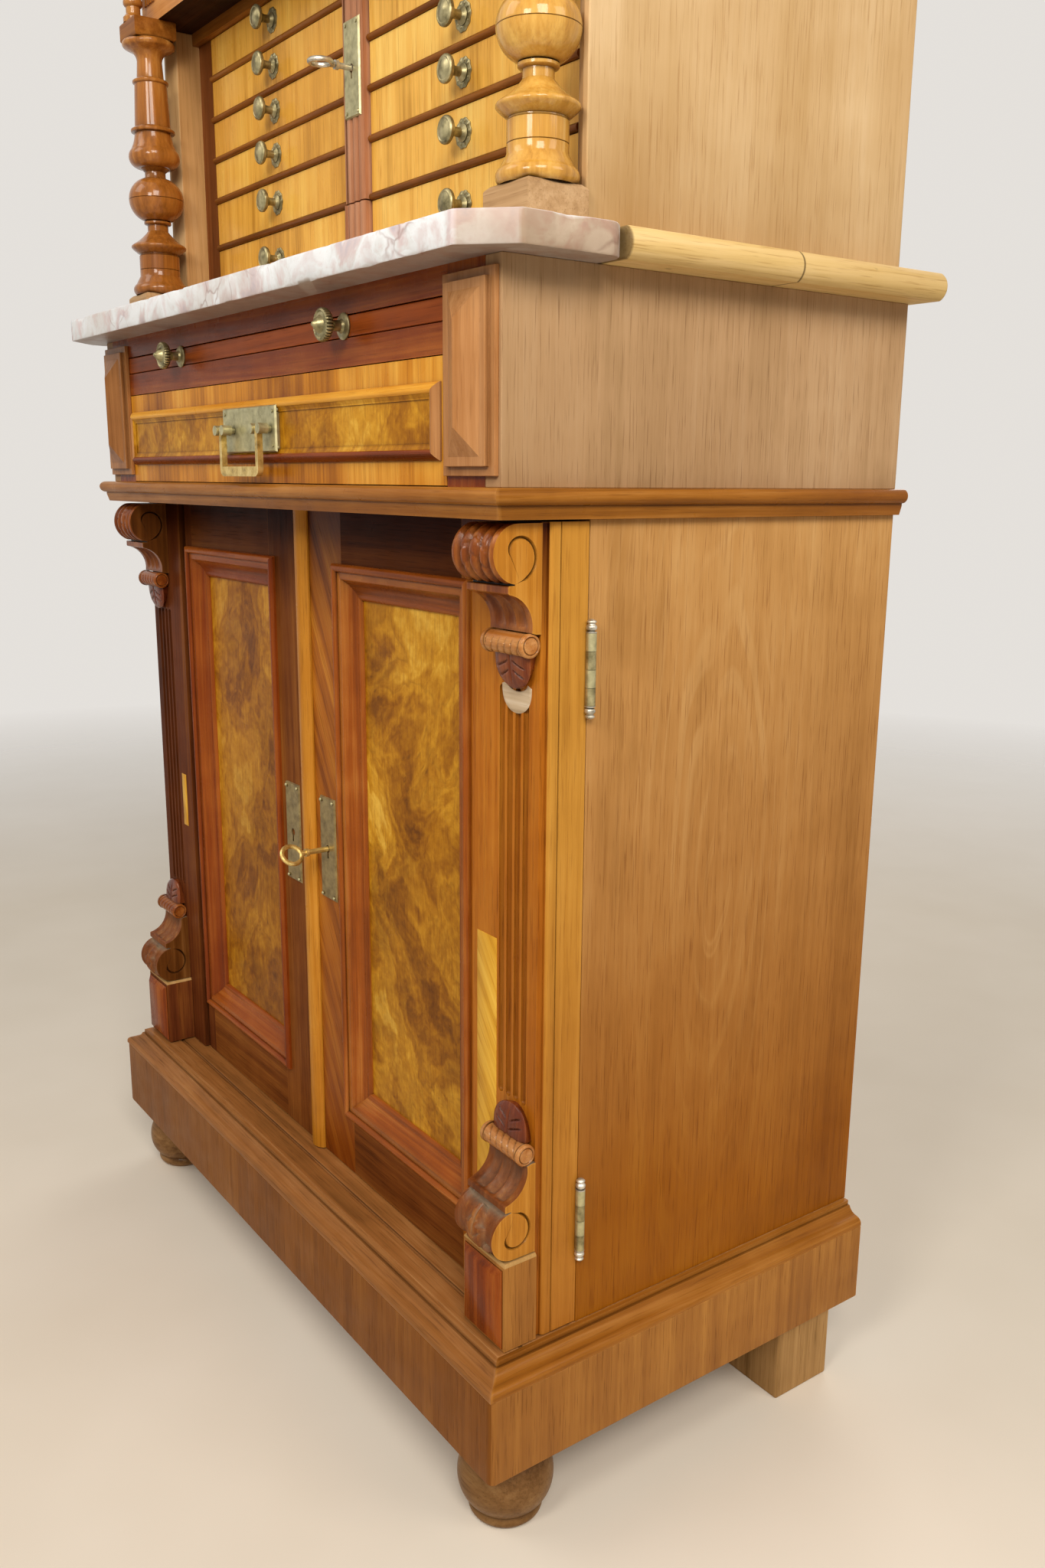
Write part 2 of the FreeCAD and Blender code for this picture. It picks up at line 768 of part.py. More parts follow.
def fluted_stile():
    """The outer stile in plan: flat, a shadow groove, the raised pilaster and the beaded corner."""
    inner = "pilaster_side - pilaster_width"
    steps = [
        ("opening_out", "door_front"),
        (inner + " - 4", "door_front"),
        (inner + " - 2", "door_front + 2.5"),
        (inner, "door_front + 2.5"),
        (inner, "pilaster_face"),
        ("pilaster_side", "pilaster_face"),
        ("pilaster_side", "door_front"),
        ("half_width - 0.8", "door_front + 1.2", "half_width", "door_front + corner_bead"),
        ("half_width", "door_front + strip_line"),
        ("half_width - 1.2", "door_front + strip_line + 0.6"),
        ("half_width", "door_front + strip_line + 1.2"),
        ("half_width", "door_back"),
        ("opening_out", "door_back"),
    ]
    plain = slab("stile_plain", "XY_Plane", steps, "door_bottom", "door_top - door_bottom")
    tools = []
    low = "door_bottom + pedestal_height + cap_height + leaf_tip + flute_radius"
    high = "door_top - leaf_tip - flute_radius"
    for index in range(4):
        x = "pilaster_side - flute_from_side - %d * flute_pitch" % index
        tools.append(rod("flute_%d" % index, "flute_radius", "(%s) - (%s)" % (high, low),
                         (x, "pilaster_face", low), (0, 0, 1)))
        tools.append(ball("flute_foot_%d" % index, "flute_radius", (x, "pilaster_face", low)))
        tools.append(ball("flute_head_%d" % index, "flute_radius", (x, "pilaster_face", high)))
    for name, level in hinge_levels():
        room = leaf_bounds(1, "door_back - hinge_leaf", "door_back", level)
        tools.append(board("stile_mortise_" + name, *room))
    return cut("outer_stile_right", plain, tools)


stile_right = fluted_stile()


def door_frame(side):
    word = "right" if side > 0 else "left"
    edge = "right_edge" if side > 0 else "-meeting_line"
    inner = board("inner_stile_" + word, sided(side, (edge, "opening_in")), door_depth, door_height)
    if side > 0:
        hole = rod("key_way", "keyhole_radius", "door_thickness", ("plate_x", "door_front", "key_level"), (0, 1, 0))
        inner = cut("inner_stile_bored", inner, [hole])
    across = sided(side, ("opening_in", "opening_out"))
    top = board("door_top_rail_" + word, across, door_depth, ("opening_high", "door_top"))
    bottom = board("door_bottom_rail_" + word, across, door_depth, ("door_bottom", "opening_low"))
    outer = stile_right if side > 0 else mirrored("outer_stile_left", stile_right)
    return [inner, outer, top, bottom]


def door_panel(side):
    word = "right" if side > 0 else "left"
    return board("burl_panel_" + word, sided(side, ("opening_in", "opening_out")),
                 ("panel_front", "panel_front + panel_board"), ("opening_low", "opening_high"))


def panel_moulding():
    """A bolection moulding: a proud bead on the frame, a hollow and a small fillet down on the panel."""
    def spot(across, depth):
        return "opening_in - moulding_lap + (%s)" % across, "door_front + (%s)" % depth

    def bend(across_middle, depth_middle, across, depth):
        return spot(across_middle, depth_middle) + spot(across, depth)

    profile = [
        spot("0", "0"), spot("0", "-1.5"),
        bend("moulding_bead / 2", "-1.5 - moulding_bead / 2", "moulding_bead", "-1.5"),
        spot("moulding_lap + 0.5", "-1.5"),
        bend("moulding_width / 2 + 2.5", "4", "moulding_width - 5", "panel_setback - 3.5"),
        spot("moulding_width - 4", "panel_setback - 3.5"),
        bend("moulding_width - 1", "panel_setback - 2.5", "moulding_width", "panel_setback"),
        spot("moulding_lap", "panel_setback"), spot("moulding_lap", "0"),
    ]
    middle = "(opening_low + opening_high) / 2"
    low = "opening_low - moulding_lap"
    high = "opening_high + moulding_lap"
    inside = "opening_in - moulding_lap"
    outside = "opening_out + moulding_lap"
    path = [(inside, middle), (inside, high), (outside, high), (outside, low), (inside, low)]
    return run_moulding("panel_moulding_run", "XY_Plane", profile, middle, "XZ_Plane", path, "-door_front", ring=True)


moulding_right = panel_moulding()


# Corbels: a reeded scroll, a ledge, a fluted hollow, a roll and a leaf, hanging at the top and standing at the bottom.
def corbel(name, level, down):
    left = "half_width - corbel_side_inset - corbel_width"
    sign = "-" if down else "+"

    def spot(out, drop):
        return "pilaster_face - (%s)" % out, "%s %s (%s)" % (level, sign, drop)

    def bend(out_middle, drop_middle, out, drop):
        return spot(out_middle, drop_middle) + spot(out, drop)

    def span(part, steps, start, width):
        return slab(name + "_" + part, "YZ_Plane", steps, start, width)

    pitch = "corbel_width / 5"
    reeds = [("0", "0")]
    for index in range(5):
        reeds.append(("scroll_radius - reed_depth", "%d * %s" % (index, pitch)))
        reeds.append(("scroll_radius", "(%d + 0.25) * %s" % (index, pitch)))
        reeds.append(("scroll_radius", "(%d + 0.75) * %s" % (index, pitch)))
    reeds.append(("scroll_radius - reed_depth", "corbel_width"))
    reeds.append(("0", "corbel_width"))
    scroll = turned(name + "_scroll", reeds, FreeCAD.Rotation(FreeCAD.Vector(0, 0, 1), FreeCAD.Vector(1, 0, 0)))
    place(scroll, left, *spot("scroll_reach", "scroll_drop"))
    core = span("core", [spot("0", "0.5"), spot("scroll_reach", "0.5"), spot("scroll_reach", "ledge_drop"),
                         spot("0", "ledge_drop")], left, "corbel_width")
    ledge = span("ledge", [spot("0", "ledge_drop"), spot("ledge_reach", "ledge_drop"),
                           spot("ledge_reach", "ledge_drop + ledge_height"),
                           spot("0", "ledge_drop + ledge_height")], left, "corbel_width")

    def hollow(part, depth, start, width):
        under = "ledge_drop + ledge_height"
        steps = [spot("0", under), spot("cavetto_reach - %s" % depth, under),
                 bend("cavetto_foot + 4 - %s" % depth, under + " + 9", "cavetto_foot - %s" % depth, "cavetto_low"),
                 spot("0", "cavetto_low")]
        return span(part, steps, start, width)

    bay = "(corbel_width - cavetto_rib) / 3"
    parts = [hollow("hollow", "cavetto_flute_depth", left, "corbel_width")]
    for index in range(4):
        parts.append(hollow("rib_%d" % index, "0", "%s + %d * %s" % (left, index, bay), "cavetto_rib"))
    fluted = join(name + "_fluted", parts)
    roll = span("roll", [spot("0", "cavetto_low"), spot("cavetto_foot", "cavetto_low"),
                         bend("roll_reach", "(cavetto_low + roll_low) / 2", "leaf_reach", "roll_low"),
                         spot("0", "roll_low")], left + " + roll_inset", "corbel_width - 2 * roll_inset")
    tongue = span("tongue", [spot("0", "roll_low"), spot("leaf_reach", "roll_low"),
                             bend("leaf_reach * 0.75", "(roll_low + leaf_tip) / 2", "1", "leaf_tip"),
                             spot("0", "leaf_tip")], left, "corbel_width")
    right = left + " + corbel_width - roll_inset"
    narrow = "(%s + roll_inset)" % left
    bow = [(narrow, spot("0", "roll_low")[1]), (right, spot("0", "roll_low")[1]),
           (right, spot("0", "roll_low + 7")[1]),
           ("(%s + %s) / 2" % (narrow, right), spot("0", "leaf_tip")[1],
            narrow, spot("0", "roll_low + 7")[1])]
    shape = slab(name + "_bow", "XZ_Plane", bow, "-pilaster_face", "leaf_reach + 1")
    leaf = doc.addObject("Part::MultiCommon", name + "_leaf")
    leaf.Shapes = [tongue, shape]
    return [join(name + "_head", [scroll, core]), ledge, fluted, roll, leaf]


def pedestal():
    """The block under the standing corbel, with a raised field in front and a sloping cap."""
    left = "half_width - pedestal_side_inset - pedestal_width"
    right = "half_width - pedestal_side_inset"
    top = "door_bottom + pedestal_height"
    steps = [
        ("pilaster_face", "door_bottom"), ("pilaster_face - pedestal_reach", "door_bottom"),
        ("pilaster_face - pedestal_reach", top + " - 3"),
        ("pilaster_face - pedestal_reach - cap_lip", top + " - 2"),
        ("pilaster_face - pedestal_reach - cap_lip", top + " + 2"),
        ("pilaster_face - scroll_reach", top + " + cap_height"), ("pilaster_face", top + " + cap_height"),
    ]
    block = slab("pedestal_block", "YZ_Plane", steps, left, "pedestal_width")
    field = doc.addObject("Part::Wedge", "pedestal_field")
    margin = "pedestal_field_margin"
    bevel = "pedestal_field_margin + pedestal_field_bevel"
    bounds = {
        "Xmin": "%s + %s" % (left, bevel), "Xmax": "%s - (%s)" % (right, bevel),
        "Ymin": "pilaster_face - pedestal_reach - pedestal_field_rise", "Ymax": "pilaster_face - pedestal_reach",
        "Zmin": "door_bottom + " + bevel, "Zmax": "%s - 3 - (%s)" % (top, bevel),
        "X2min": "%s + %s" % (left, margin), "X2max": "%s - (%s)" % (right, margin),
        "Z2min": "door_bottom + " + margin, "Z2max": "%s - 3 - (%s)" % (top, margin),
    }
    for prop, text in bounds.items():
        field.setExpression(prop, bind(text))
    return join("pedestal", [block, field])


corbels_right = corbel("upper_corbel", "door_top", True)
corbels_right += corbel("lower_corbel", "door_bottom + pedestal_height + cap_height", False)
corbels_right.append(pedestal())


# Butt hinges: four knuckles on one pin, two on each leaf; the fixed leaf carries the pin and its finials.
def finial(name, radius, start, way):
    cone = doc.addObject("Part::Cone", name)
    cone.setExpression("Radius1", bind("%s * 0.85" % radius))
    cone.setExpression("Radius2", bind("%s * 0.3" % radius))
    cone.setExpression("Height", bind("hinge_finial - 2"))
    turn = FreeCAD.Rotation(FreeCAD.Vector(1, 0, 0), 0 if way > 0 else 180)
    cone.Placement = FreeCAD.Placement(FreeCAD.Vector(), turn)
    return place(cone, *start)


def knuckle_hinge(name, axis, radius, length, level, leaf, strip, own, fixed):
    low = "(%s) - (%s) / 2" % (level, length)
    leaf_x, leaf_y = leaf
    strip_x, strip_y = strip
    parts = [board(name + "_plate", leaf_x, leaf_y, (low, "%s + %s" % (low, length)))]
    for index in own:
        start = "%s + %d * (%s) / 4 + knuckle_gap / 2" % (low, index, length)
        end = "%s + %d * (%s) / 4 - knuckle_gap / 2" % (low, index + 1, length)
        parts.append(rod("%s_knuckle_%d" % (name, index), radius, "(%s) - (%s)" % (end, start),
                         axis + (start,), (0, 0, 1)))
        parts.append(board("%s_bridge_%d" % (name, index), strip_x, strip_y, (start, end)))
    if not fixed:
        bore = rod(name + "_bore", "hinge_pin_radius + pin_clearance", length, axis + (low,), (0, 0, 1))
        return cut(name, join(name + "_leaf", parts), [bore])
    parts.append(rod(name + "_pin", "hinge_pin_radius", "%s + 8" % length, axis + (low + " - 4",), (0, 0, 1)))
    parts.append(finial(name + "_foot", radius, axis + (low + " - 2",), -1))
    parts.append(finial(name + "_head", radius, axis + ("%s + %s + 2" % (low, length),), 1))
    return join(name, parts)


def door_hinges(fixed):
    halves = []
    for name, level in hinge_levels():
        depth = ("side_front", "side_front + hinge_leaf") if fixed else ("door_back - hinge_leaf", "door_back")
        leaf = (("half_width - hinge_leaf_width", "half_width"), depth)
        strip = (("half_width", "hinge_x"), depth)
        word = "fixed" if fixed else "door"
        halves.append(knuckle_hinge("%s_%s_hinge" % (name, word), ("hinge_x", "hinge_y"), "hinge_barrel_radius",
                                    "hinge_length", level, leaf, strip, (0, 2) if fixed else (1, 3), fixed))
    return halves


def glazed_hinges(fixed):
    halves = []
    near = "glazed_hinge_radius - 0.4"
    depth = ("case_front_face - hinge_leaf", "case_front_face")
    for name, level in (("case_low", "glazed_low + 70"), ("case_high", "glazed_high - 70")):
        if fixed:
            leaf = (("glazed_axis_x + " + near, "glazed_axis_x + case_pilaster_margin - 0.5"), depth)
            strip = (("glazed_axis_x", "glazed_axis_x + " + near), depth)
        else:
            leaf = (("glazed_axis_x - 12", "glazed_axis_x - (%s)" % near), depth)
            strip = (("glazed_axis_x - (%s)" % near, "glazed_axis_x"), depth)
        word = "fixed" if fixed else "door"
        halves.append(knuckle_hinge("%s_%s_hinge" % (name, word), ("glazed_axis_x", "glazed_axis_y"),
                                    "glazed_hinge_radius", "glazed_hinge_length", level, leaf, strip,
                                    (0, 2) if fixed else (1, 3), fixed))
    return halves


def left_of(pieces):
    return [mirrored(piece.Name + "_left", piece) for piece in pieces]


fixed_hinges = door_hinges(True) + glazed_hinges(True)
node("carcass_hinge_leaves", fixed_hinges + left_of(fixed_hinges))


# Flat brass plates with bevelled edges and small pins.
def plate(name, x, front, thickness, z, pin_inset):
    sheet_metal = doc.addObject("Part::Wedge", name + "_sheet")
    bounds = {
        "Xmin": "%s + 1" % x[0], "Xmax": "%s - 1" % x[1], "Ymin": "%s - %s" % (front, thickness), "Ymax": front,
        "Zmin": "%s + 1" % z[0], "Zmax": "%s - 1" % z[1],
        "X2min": x[0], "X2max": x[1], "Z2min": z[0], "Z2max": z[1],
    }
    for prop, text in bounds.items():
        sheet_metal.setExpression(prop, bind(text))
    pins = []
    for index, (pin_x, pin_z) in enumerate(((0, 0), (1, 0), (0, 1), (1, 1))):
        across = "%s + %s" % (x[0], pin_inset) if pin_x == 0 else "%s - %s" % (x[1], pin_inset)
        along = "%s + %s" % (z[0], pin_inset) if pin_z == 0 else "%s - %s" % (z[1], pin_inset)
        pins.append(rod("%s_pin_%d" % (name, index), "1.3", "0.8",
                        (across, "%s - %s - 0.8" % (front, thickness), along), (0, 1, 0)))
    return join(name + "_pinned", [sheet_metal] + pins)


def key_slot(name, x, front, thickness, level, reach):
    start = "%s - %s - 1" % (front, thickness)
    hole = rod(name + "_hole", "keyhole_radius", "%s + 2" % thickness, (x, start, level), (0, 1, 0))
    slot = board(name + "_slot", ("%s - 1.3" % x, "%s + 1.3" % x), (start, "%s + %s + 2" % (start, thickness)),
                 ("%s - %s" % (level, reach), level))
    return join(name, [hole, slot])


def escutcheon(side):
    word = "right" if side > 0 else "left"
    middle = "plate_x" if side > 0 else "-plate_x"
    x = ("%s - escutcheon_width / 2" % middle, "%s + escutcheon_width / 2" % middle)
    z = ("key_level - escutcheon_height / 2", "key_level + escutcheon_height / 2")
    whole = plate("escutcheon_" + word, x, "door_front", "escutcheon_thickness", z, "4")
    slot = key_slot("keyhole_" + word, middle, "door_front", "escutcheon_thickness", "key_level", "9")
    return cut("escutcheon_pierced_" + word, whole, [slot])


def astragal():
    steps = [("-meeting_line", "door_front"), ("-meeting_line", "door_front - 1.5"),
             ("0", "door_front - astragal_rise", "meeting_line", "door_front - 1.5"), ("meeting_line", "door_front")]
    return slab("astragal_strip", "XY_Plane", steps, "door_bottom", "door_top - door_bottom")


hinges_right = door_hinges(False)
node("left_door_frame", door_frame(-1))
node("left_door_panel", [door_panel(-1)])
node("left_door_moulding", [mirrored("moulding_left", moulding_right)])
node("left_corbels", left_of(corbels_right))
node("left_hinge_leaves", left_of(hinges_right))
node("left_escutcheon", [escutcheon(-1)])
node("door_astragal", [astragal()])
node("right_door_frame", door_frame(1))
node("right_door_panel", [door_panel(1)])
node("right_door_moulding", [moulding_right])
node("right_corbels", corbels_right)
node("right_hinge_leaves", hinges_right)
node("right_escutcheon", [escutcheon(1)])


# Lock of the right door: a case on the inner stile, a bolt that slides behind the left door, and a key.
lock_left = "right_edge + 2"
bolt_z = ("key_level + 10", "key_level + 10 + bolt_height")
bolt_y = ("door_back + lock_wall + 1", "door_back + lock_depth - lock_wall - 1")


def lock_case():
    z = ("key_level - lock_height / 2", "key_level + lock_height / 2")
    case = board("lock_box", (lock_left, lock_left + " + lock_width + 10"),
                 ("door_back", "door_back + lock_depth"), z)
    way = board("bolt_way", (lock_left, lock_left + " + bolt_length + 2"),
                (bolt_y[0] + " - 0.3", bolt_y[1] + " + 0.3"), (bolt_z[0] + " - 0.3", bolt_z[1] + " + 0.3"))
    throat = rod("key_throat", "key_radius + pin_clearance", "lock_depth - lock_wall",
                 ("plate_x", "door_back", "key_level"), (0, 1, 0))
    chamber = rod("key_chamber", "8.5", "lock_depth - 2 * lock_wall",
                  ("plate_x", "door_back + lock_wall", "key_level"), (0, 1, 0))
    return cut("lock_hollowed", case, [way, throat, chamber])


node("door_lock", [lock_case()])
node("lock_bolt", [board("bolt_bar", (lock_left + " + 0.5", lock_left + " + 0.5 + bolt_length"), bolt_y, bolt_z)])


def key(name, x, front, level, reach, tail, bow_tilt, bit):
    """A turned key: stem with a collar, a ring bow and a flat bit."""
    bow_y = "%s - (%s)" % (front, reach)
    stem = rod(name + "_stem", "key_radius", "%s + %s - key_bow_radius" % (reach, tail),
               (x, bow_y + " + key_bow_radius", level), (0, 1, 0))
    collar = rod(name + "_collar", "key_radius + 1.3", "3", (x, bow_y + " + key_bow_radius + 4", level), (0, 1, 0))
    corners = ((-1, -0.4), (-0.4, -1), (0.4, -1), (1, -0.4), (1, 0.4), (0.4, 1), (-0.4, 1), (-1, 0.4))
    section = [("key_bow_radius + %g * key_bow_wire" % out, "%g * key_bow_wire" % up) for out, up in corners]
    axis = FreeCAD.Rotation(FreeCAD.Vector(0, 1, 0), bow_tilt).multVec(FreeCAD.Vector(1, 0, 0))
    bow = turned(name + "_bow", section, FreeCAD.Rotation(FreeCAD.Vector(0, 0, 1), axis))
    place(bow, x, bow_y, level)
    parts = [stem, collar, bow]
    if bit:
        parts.append(board(name + "_bit", ("%s - 0.9" % x, "%s + 0.9" % x), bit, ("%s - 7.5" % level, level)))
    return join(name + "_whole", parts)


node("door_key", [key("cupboard_key", "plate_x", "door_front", "key_level", "key_reach + 7",
                      "door_thickness + lock_depth - lock_wall - 0.5", -45,
                      ("door_back + lock_wall + 2", "door_back + lock_depth - lock_wall - 2"))])


# Wide drawer.
drawer_half = "(post_in - drawer_gap)"
drawer_z = ("drawer_low + drawer_gap", "drawer_high - drawer_gap")
box_front = "case_front + drawer_front_board"
box_back = "back_front - drawer_rear_gap"
node("large_drawer_box", board_pair("drawer_side", (drawer_half + " - drawer_side_board", drawer_half),
                                    (box_front, box_back), (drawer_z[0], drawer_z[0] + " + drawer_side_height")) + [
    board("drawer_back", ("drawer_side_board - " + drawer_half, drawer_half + " - drawer_side_board"),
          (box_back + " - drawer_side_board", box_back),
          (drawer_z[0] + " + drawer_bottom_board", drawer_z[0] + " + drawer_side_height")),
    board("drawer_bottom", ("drawer_side_board - " + drawer_half, drawer_half + " - drawer_side_board"),
          (box_front, box_back), (drawer_z[0], drawer_z[0] + " + drawer_bottom_board")),
])

field_out = drawer_half + " - field_margin_side"
field_z = ("drawer_low + field_margin_end", "drawer_high - field_margin_end")


def field_moulding():
    """A low moulding mitred round the burl field of the wide drawer."""
    def spot(up, out):
        return "case_front - (%s)" % out, "%s + (%s)" % (field_z[0], up)

    profile = [
        spot("0", "0"), spot("0", "1.5"),
        spot("2.5", "field_moulding_rise - 1.5") + spot("4.5", "field_moulding_rise"),
        spot("6.5", "field_moulding_rise - 0.5") + spot("7.5", "field_moulding_rise - 1.5"),
        spot("field_moulding - 1", "field_rise + 0.8"), spot("field_moulding", "field_rise + 0.8"),
        spot("field_moulding", "0"),
    ]
    path = [("0", field_z[0]), (field_out, field_z[0]), (field_out, field_z[1]),
            ("-(%s)" % field_out, field_z[1]), ("-(%s)" % field_out, field_z[0])]
    return run_moulding("field_moulding_run", "YZ_Plane", profile, "0", "XZ_Plane", path, "-case_front", ring=True)


node("large_drawer_front", [
    board("drawer_front_plank", ("-" + drawer_half, drawer_half), ("case_front", box_front), drawer_z),
    field_moulding(),
    board("drawer_field", ("field_moulding - (%s)" % field_out, "%s - field_moulding" % field_out),
          ("case_front - field_rise", "case_front"),
          (field_z[0] + " + field_moulding", field_z[1] + " - field_moulding")),
])

plate_front = "case_front - field_rise"
plate_level = "drawer_low + 44"
bail_y = "case_front - field_rise - pull_plate_thickness - post_reach"


def pull_plate():
    x = ("-pull_plate_width / 2", "pull_plate_width / 2")
    z = (plate_level + " - pull_plate_height / 2", plate_level + " + pull_plate_height / 2")
    lift = "case_front - field_moulding_rise"
    backing = board("pull_backing", ("3 - pull_plate_width / 2", "pull_plate_width / 2 - 3"),
                    (lift, plate_front), (field_z[0] + " + field_moulding", field_z[1] + " - field_moulding"))
    parts = [backing, plate("pull_plate", x, lift, "pull_plate_thickness", z, "5")]
    for side in (1, -1):
        for index, out in enumerate(("bail_width / 2 - post_spread", "bail_width / 2 + post_spread")):
            x_post = "%d * (%s)" % (side, out)
            name = "pull_post_%d_%d" % (side + 1, index)
            parts.append(rod(name, "2.6", "post_reach", (x_post, bail_y, plate_level), (0, 1, 0)))
            parts.append(rod(name + "_boss", "pull_post_radius", "2 * pull_post_radius",
                             (x_post, bail_y + " - pull_post_radius", plate_level), (0, 1, 0)))
        start = "%d * bail_width / 2 - post_spread" % side
        parts.append(rod("pull_pivot_%d" % (side + 1), "pivot_radius", "2 * post_spread", (start, bail_y, plate_level), (1, 0, 0)))
    return join("pull_plate_whole", parts)


node("drawer_pull_plate", [pull_plate()])


def bail():
    """A square bail: two straight legs and a broad bar with rounded corners."""
    half = "bail_width / 2"
    low = "%s - bail_drop" % plate_level
    steps = [
        ("-%s - bail_wire" % half, plate_level), ("-%s - bail_wire" % half, low + " + 3"),
        ("-%s - bail_wire + 2" % half, low + " - 2", "5 - " + half, low + " - 4"),
        (half + " - 5", low + " - 4"),
        (half + " + bail_wire - 2", low + " - 2", half + " + bail_wire", low + " + 3"),
        (half + " + bail_wire", plate_level),
        (half, plate_level + " + bail_wire", half + " - bail_wire", plate_level),
        (half + " - bail_wire", low + " + 4"), ("bail_wire - " + half, low + " + 4"),
    ]
    steps[0] = ("-" + half, plate_level + " + bail_wire") + steps[0]
    steps.append(("bail_wire - " + half, plate_level))
    loop = slab("bail_loop", "XZ_Plane", steps, "-(%s) - bail_wire" % bail_y, "2 * bail_wire")
    bores = [rod("bail_bore_%d" % (side + 1), "pivot_radius + pin_clearance", "2 * bail_wire + 2",
                 ("%d * bail_width / 2 - bail_wire - 1" % side, bail_y, plate_level), (1, 0, 0)) for side in (1, -1)]
    return cut("bail_bored", loop, bores)


node("drawer_bail", [bail()])


# Pull-out slide with two knobs.
node("pull_out_slide", [board("slide_plank", ("-" + drawer_half, drawer_half),
                              ("case_front", "back_front - slide_rear_gap"),
                              ("slide_low + drawer_gap", "slide_high - drawer_gap"))])


def knob(name, radius, reach, neck, spot):
    """A turned knob: a flared foot, a waist and a flattened ball."""
    steps = [("0", "0"), ("%s * 0.7" % radius, "0"), ("%s * 0.7" % radius, "%s * 0.08" % reach),
             (neck, "%s * 0.2" % reach), (neck, "%s * 0.38" % reach),
             ("%s * 0.96" % radius, "%s * 0.55" % reach),
             (radius, "%s * 0.68" % reach), ("%s * 0.94" % radius, "%s * 0.8" % reach),
             ("%s * 0.65" % radius, "%s * 0.94" % reach, "%s * 0.25" % radius, reach), ("0", reach)]
    body = turned(name, steps, to_front)
    return place(body, *spot)


slide_level = "(slide_low + slide_high) / 2"
node("slide_knobs", [
    knob("slide_knob_right", "slide_knob_radius", "slide_knob_reach", "small_knob_neck",
         ("slide_knob_spread / 2", "case_front", slide_level)),
    knob("slide_knob_left", "slide_knob_radius", "slide_knob_reach", "small_knob_neck",
         ("-slide_knob_spread / 2", "case_front", slide_level)),
])


# Upper part: side boards and the case of the small drawers.
case_side_front = "case_front_face + case_pilaster_depth"


def niche_side():
    """A side of the niche in plan; its inner front arris is bevelled behind the column."""
    steps = [("upper_inner", "case_back"), ("upper_inner", "niche_front + niche_arris_depth"),
             ("upper_inner + niche_arris_width", "niche_front"), ("upper_half", "niche_front"),
             ("upper_half", "case_back")]
    return slab("niche_side_right", "XY_Plane", steps, "top_level", "niche_ceiling - top_level")


side_right = niche_side()
node("upper_sides", [side_right, mirrored("niche_side_left", side_right)] +
     board_pair("case_side", ("upper_inner", "upper_half"), (case_side_front, "case_back"),
                ("case_floor_top", "case_ceiling")))

rows = [("niche_floor", "row_one"), ("row_two_floor", "row_two"), ("row_three_floor", "row_three"),
        ("row_four_floor", "row_four"), ("row_five_floor", "row_five"), ("row_six_floor", "row_six")]


def nosed_board(name, floor, height, start, length):
    """A dust board whose front edge is a half-round nosing."""
    steps = [("small_front", floor), ("back_front", floor), ("back_front", "%s + %s" % (floor, height)),
             ("small_front", "%s + %s" % (floor, height))]
    steps[0] = ("small_front - rail_nose", "%s + %s / 2" % (floor, height)) + steps[0]
    return slab(name, "YZ_Plane", steps, start, length)


def reeded(name, low, high, hinged):
    """The middle stile in plan: three reeds in front; the swinging length has a rounded hinge edge."""
    pitch = "(bar_width / 2 - bar_axis_x) / 3"
    steps = [("bar_axis_x", "bar_back"), ("bar_width / 2", "bar_back"), ("bar_width / 2", "bar_front + bar_reed")]
    for index in (2, 1, 0):
        steps.append(("bar_axis_x + (%d + 0.5) * %s" % (index, pitch), "bar_front",
                      "bar_axis_x + %d * %s" % (index, pitch), "bar_front + bar_reed"))
    if hinged:
        steps.append(("bar_axis_x", "bar_front"))
        steps[0] = ("-bar_width / 2", "bar_axis_y") + steps[0]
    else:
        steps.append(("-bar_width / 2 + 3", "bar_front", "-bar_width / 2", "bar_front + bar_reed"))
        steps.append(("-bar_width / 2", "bar_back"))
    return slab(name, "XY_Plane", steps, low, "(%s) - (%s)" % (high, low))


def drawer_case():
    plank = board("niche_base", ("-upper_inner", "upper_inner"), ("small_front - rail_nose", "back_front"),
                  ("top_level", "niche_floor"))
    stiles = board_pair("niche_stile", ("bay_out", "upper_inner"), ("small_front", "small_front + board"),
                        ("niche_floor", "rows_top"))
    walls = board_pair("niche_wall", ("bay_out", "bay_out + partition_board"), ("small_front + board", "back_front"),
                       ("niche_floor", "rows_top"))
    behind = "bar_back + bar_gap"
    middle = board_pair("partition", ("bay_in - partition_board", "bay_in"), (behind, "back_front"),
                        ("niche_floor", "rows_top"))
    filler = board("partition_front", ("partition_board - bay_in", "bay_in - partition_board"),
                   (behind, behind + " + board"), ("niche_floor", "rows_top"))
    rails = []
    for index, (floor, height) in enumerate(rows[:-1]):
        rails.append(nosed_board("dust_board_%d" % (index + 1), "%s + %s" % (floor, height), "niche_rail",
                                 "bay_in", "bay_out - bay_in"))
    lower = reeded("fixed_stile_plain", "niche_floor", "bar_low - bar_gap", False)
    socket = rod("bar_socket_low", "bar_pin_radius + bar_pin_clearance", "bar_pin_length + 1",
                 ("bar_axis_x", "bar_axis_y", "bar_low - bar_gap - bar_pin_length"), (0, 0, 1))
    fixed = cut("fixed_stile", lower, [socket])
    head = board("niche_head", ("-upper_inner", "upper_inner"), ("bar_front", "back_front"),
                 ("rows_top", "niche_ceiling"))
    eye = rod("bar_socket_high", "bar_pin_radius + bar_pin_clearance", "bar_pin_length + 1",
              ("bar_axis_x", "bar_axis_y", "rows_top - 1"), (0, 0, 1))
    top = cut("niche_head_bored", head, [eye])
    return [plank] + stiles + walls + middle + [filler] + rails + left_of(rails) + [fixed, top]


node("drawer_case", drawer_case())


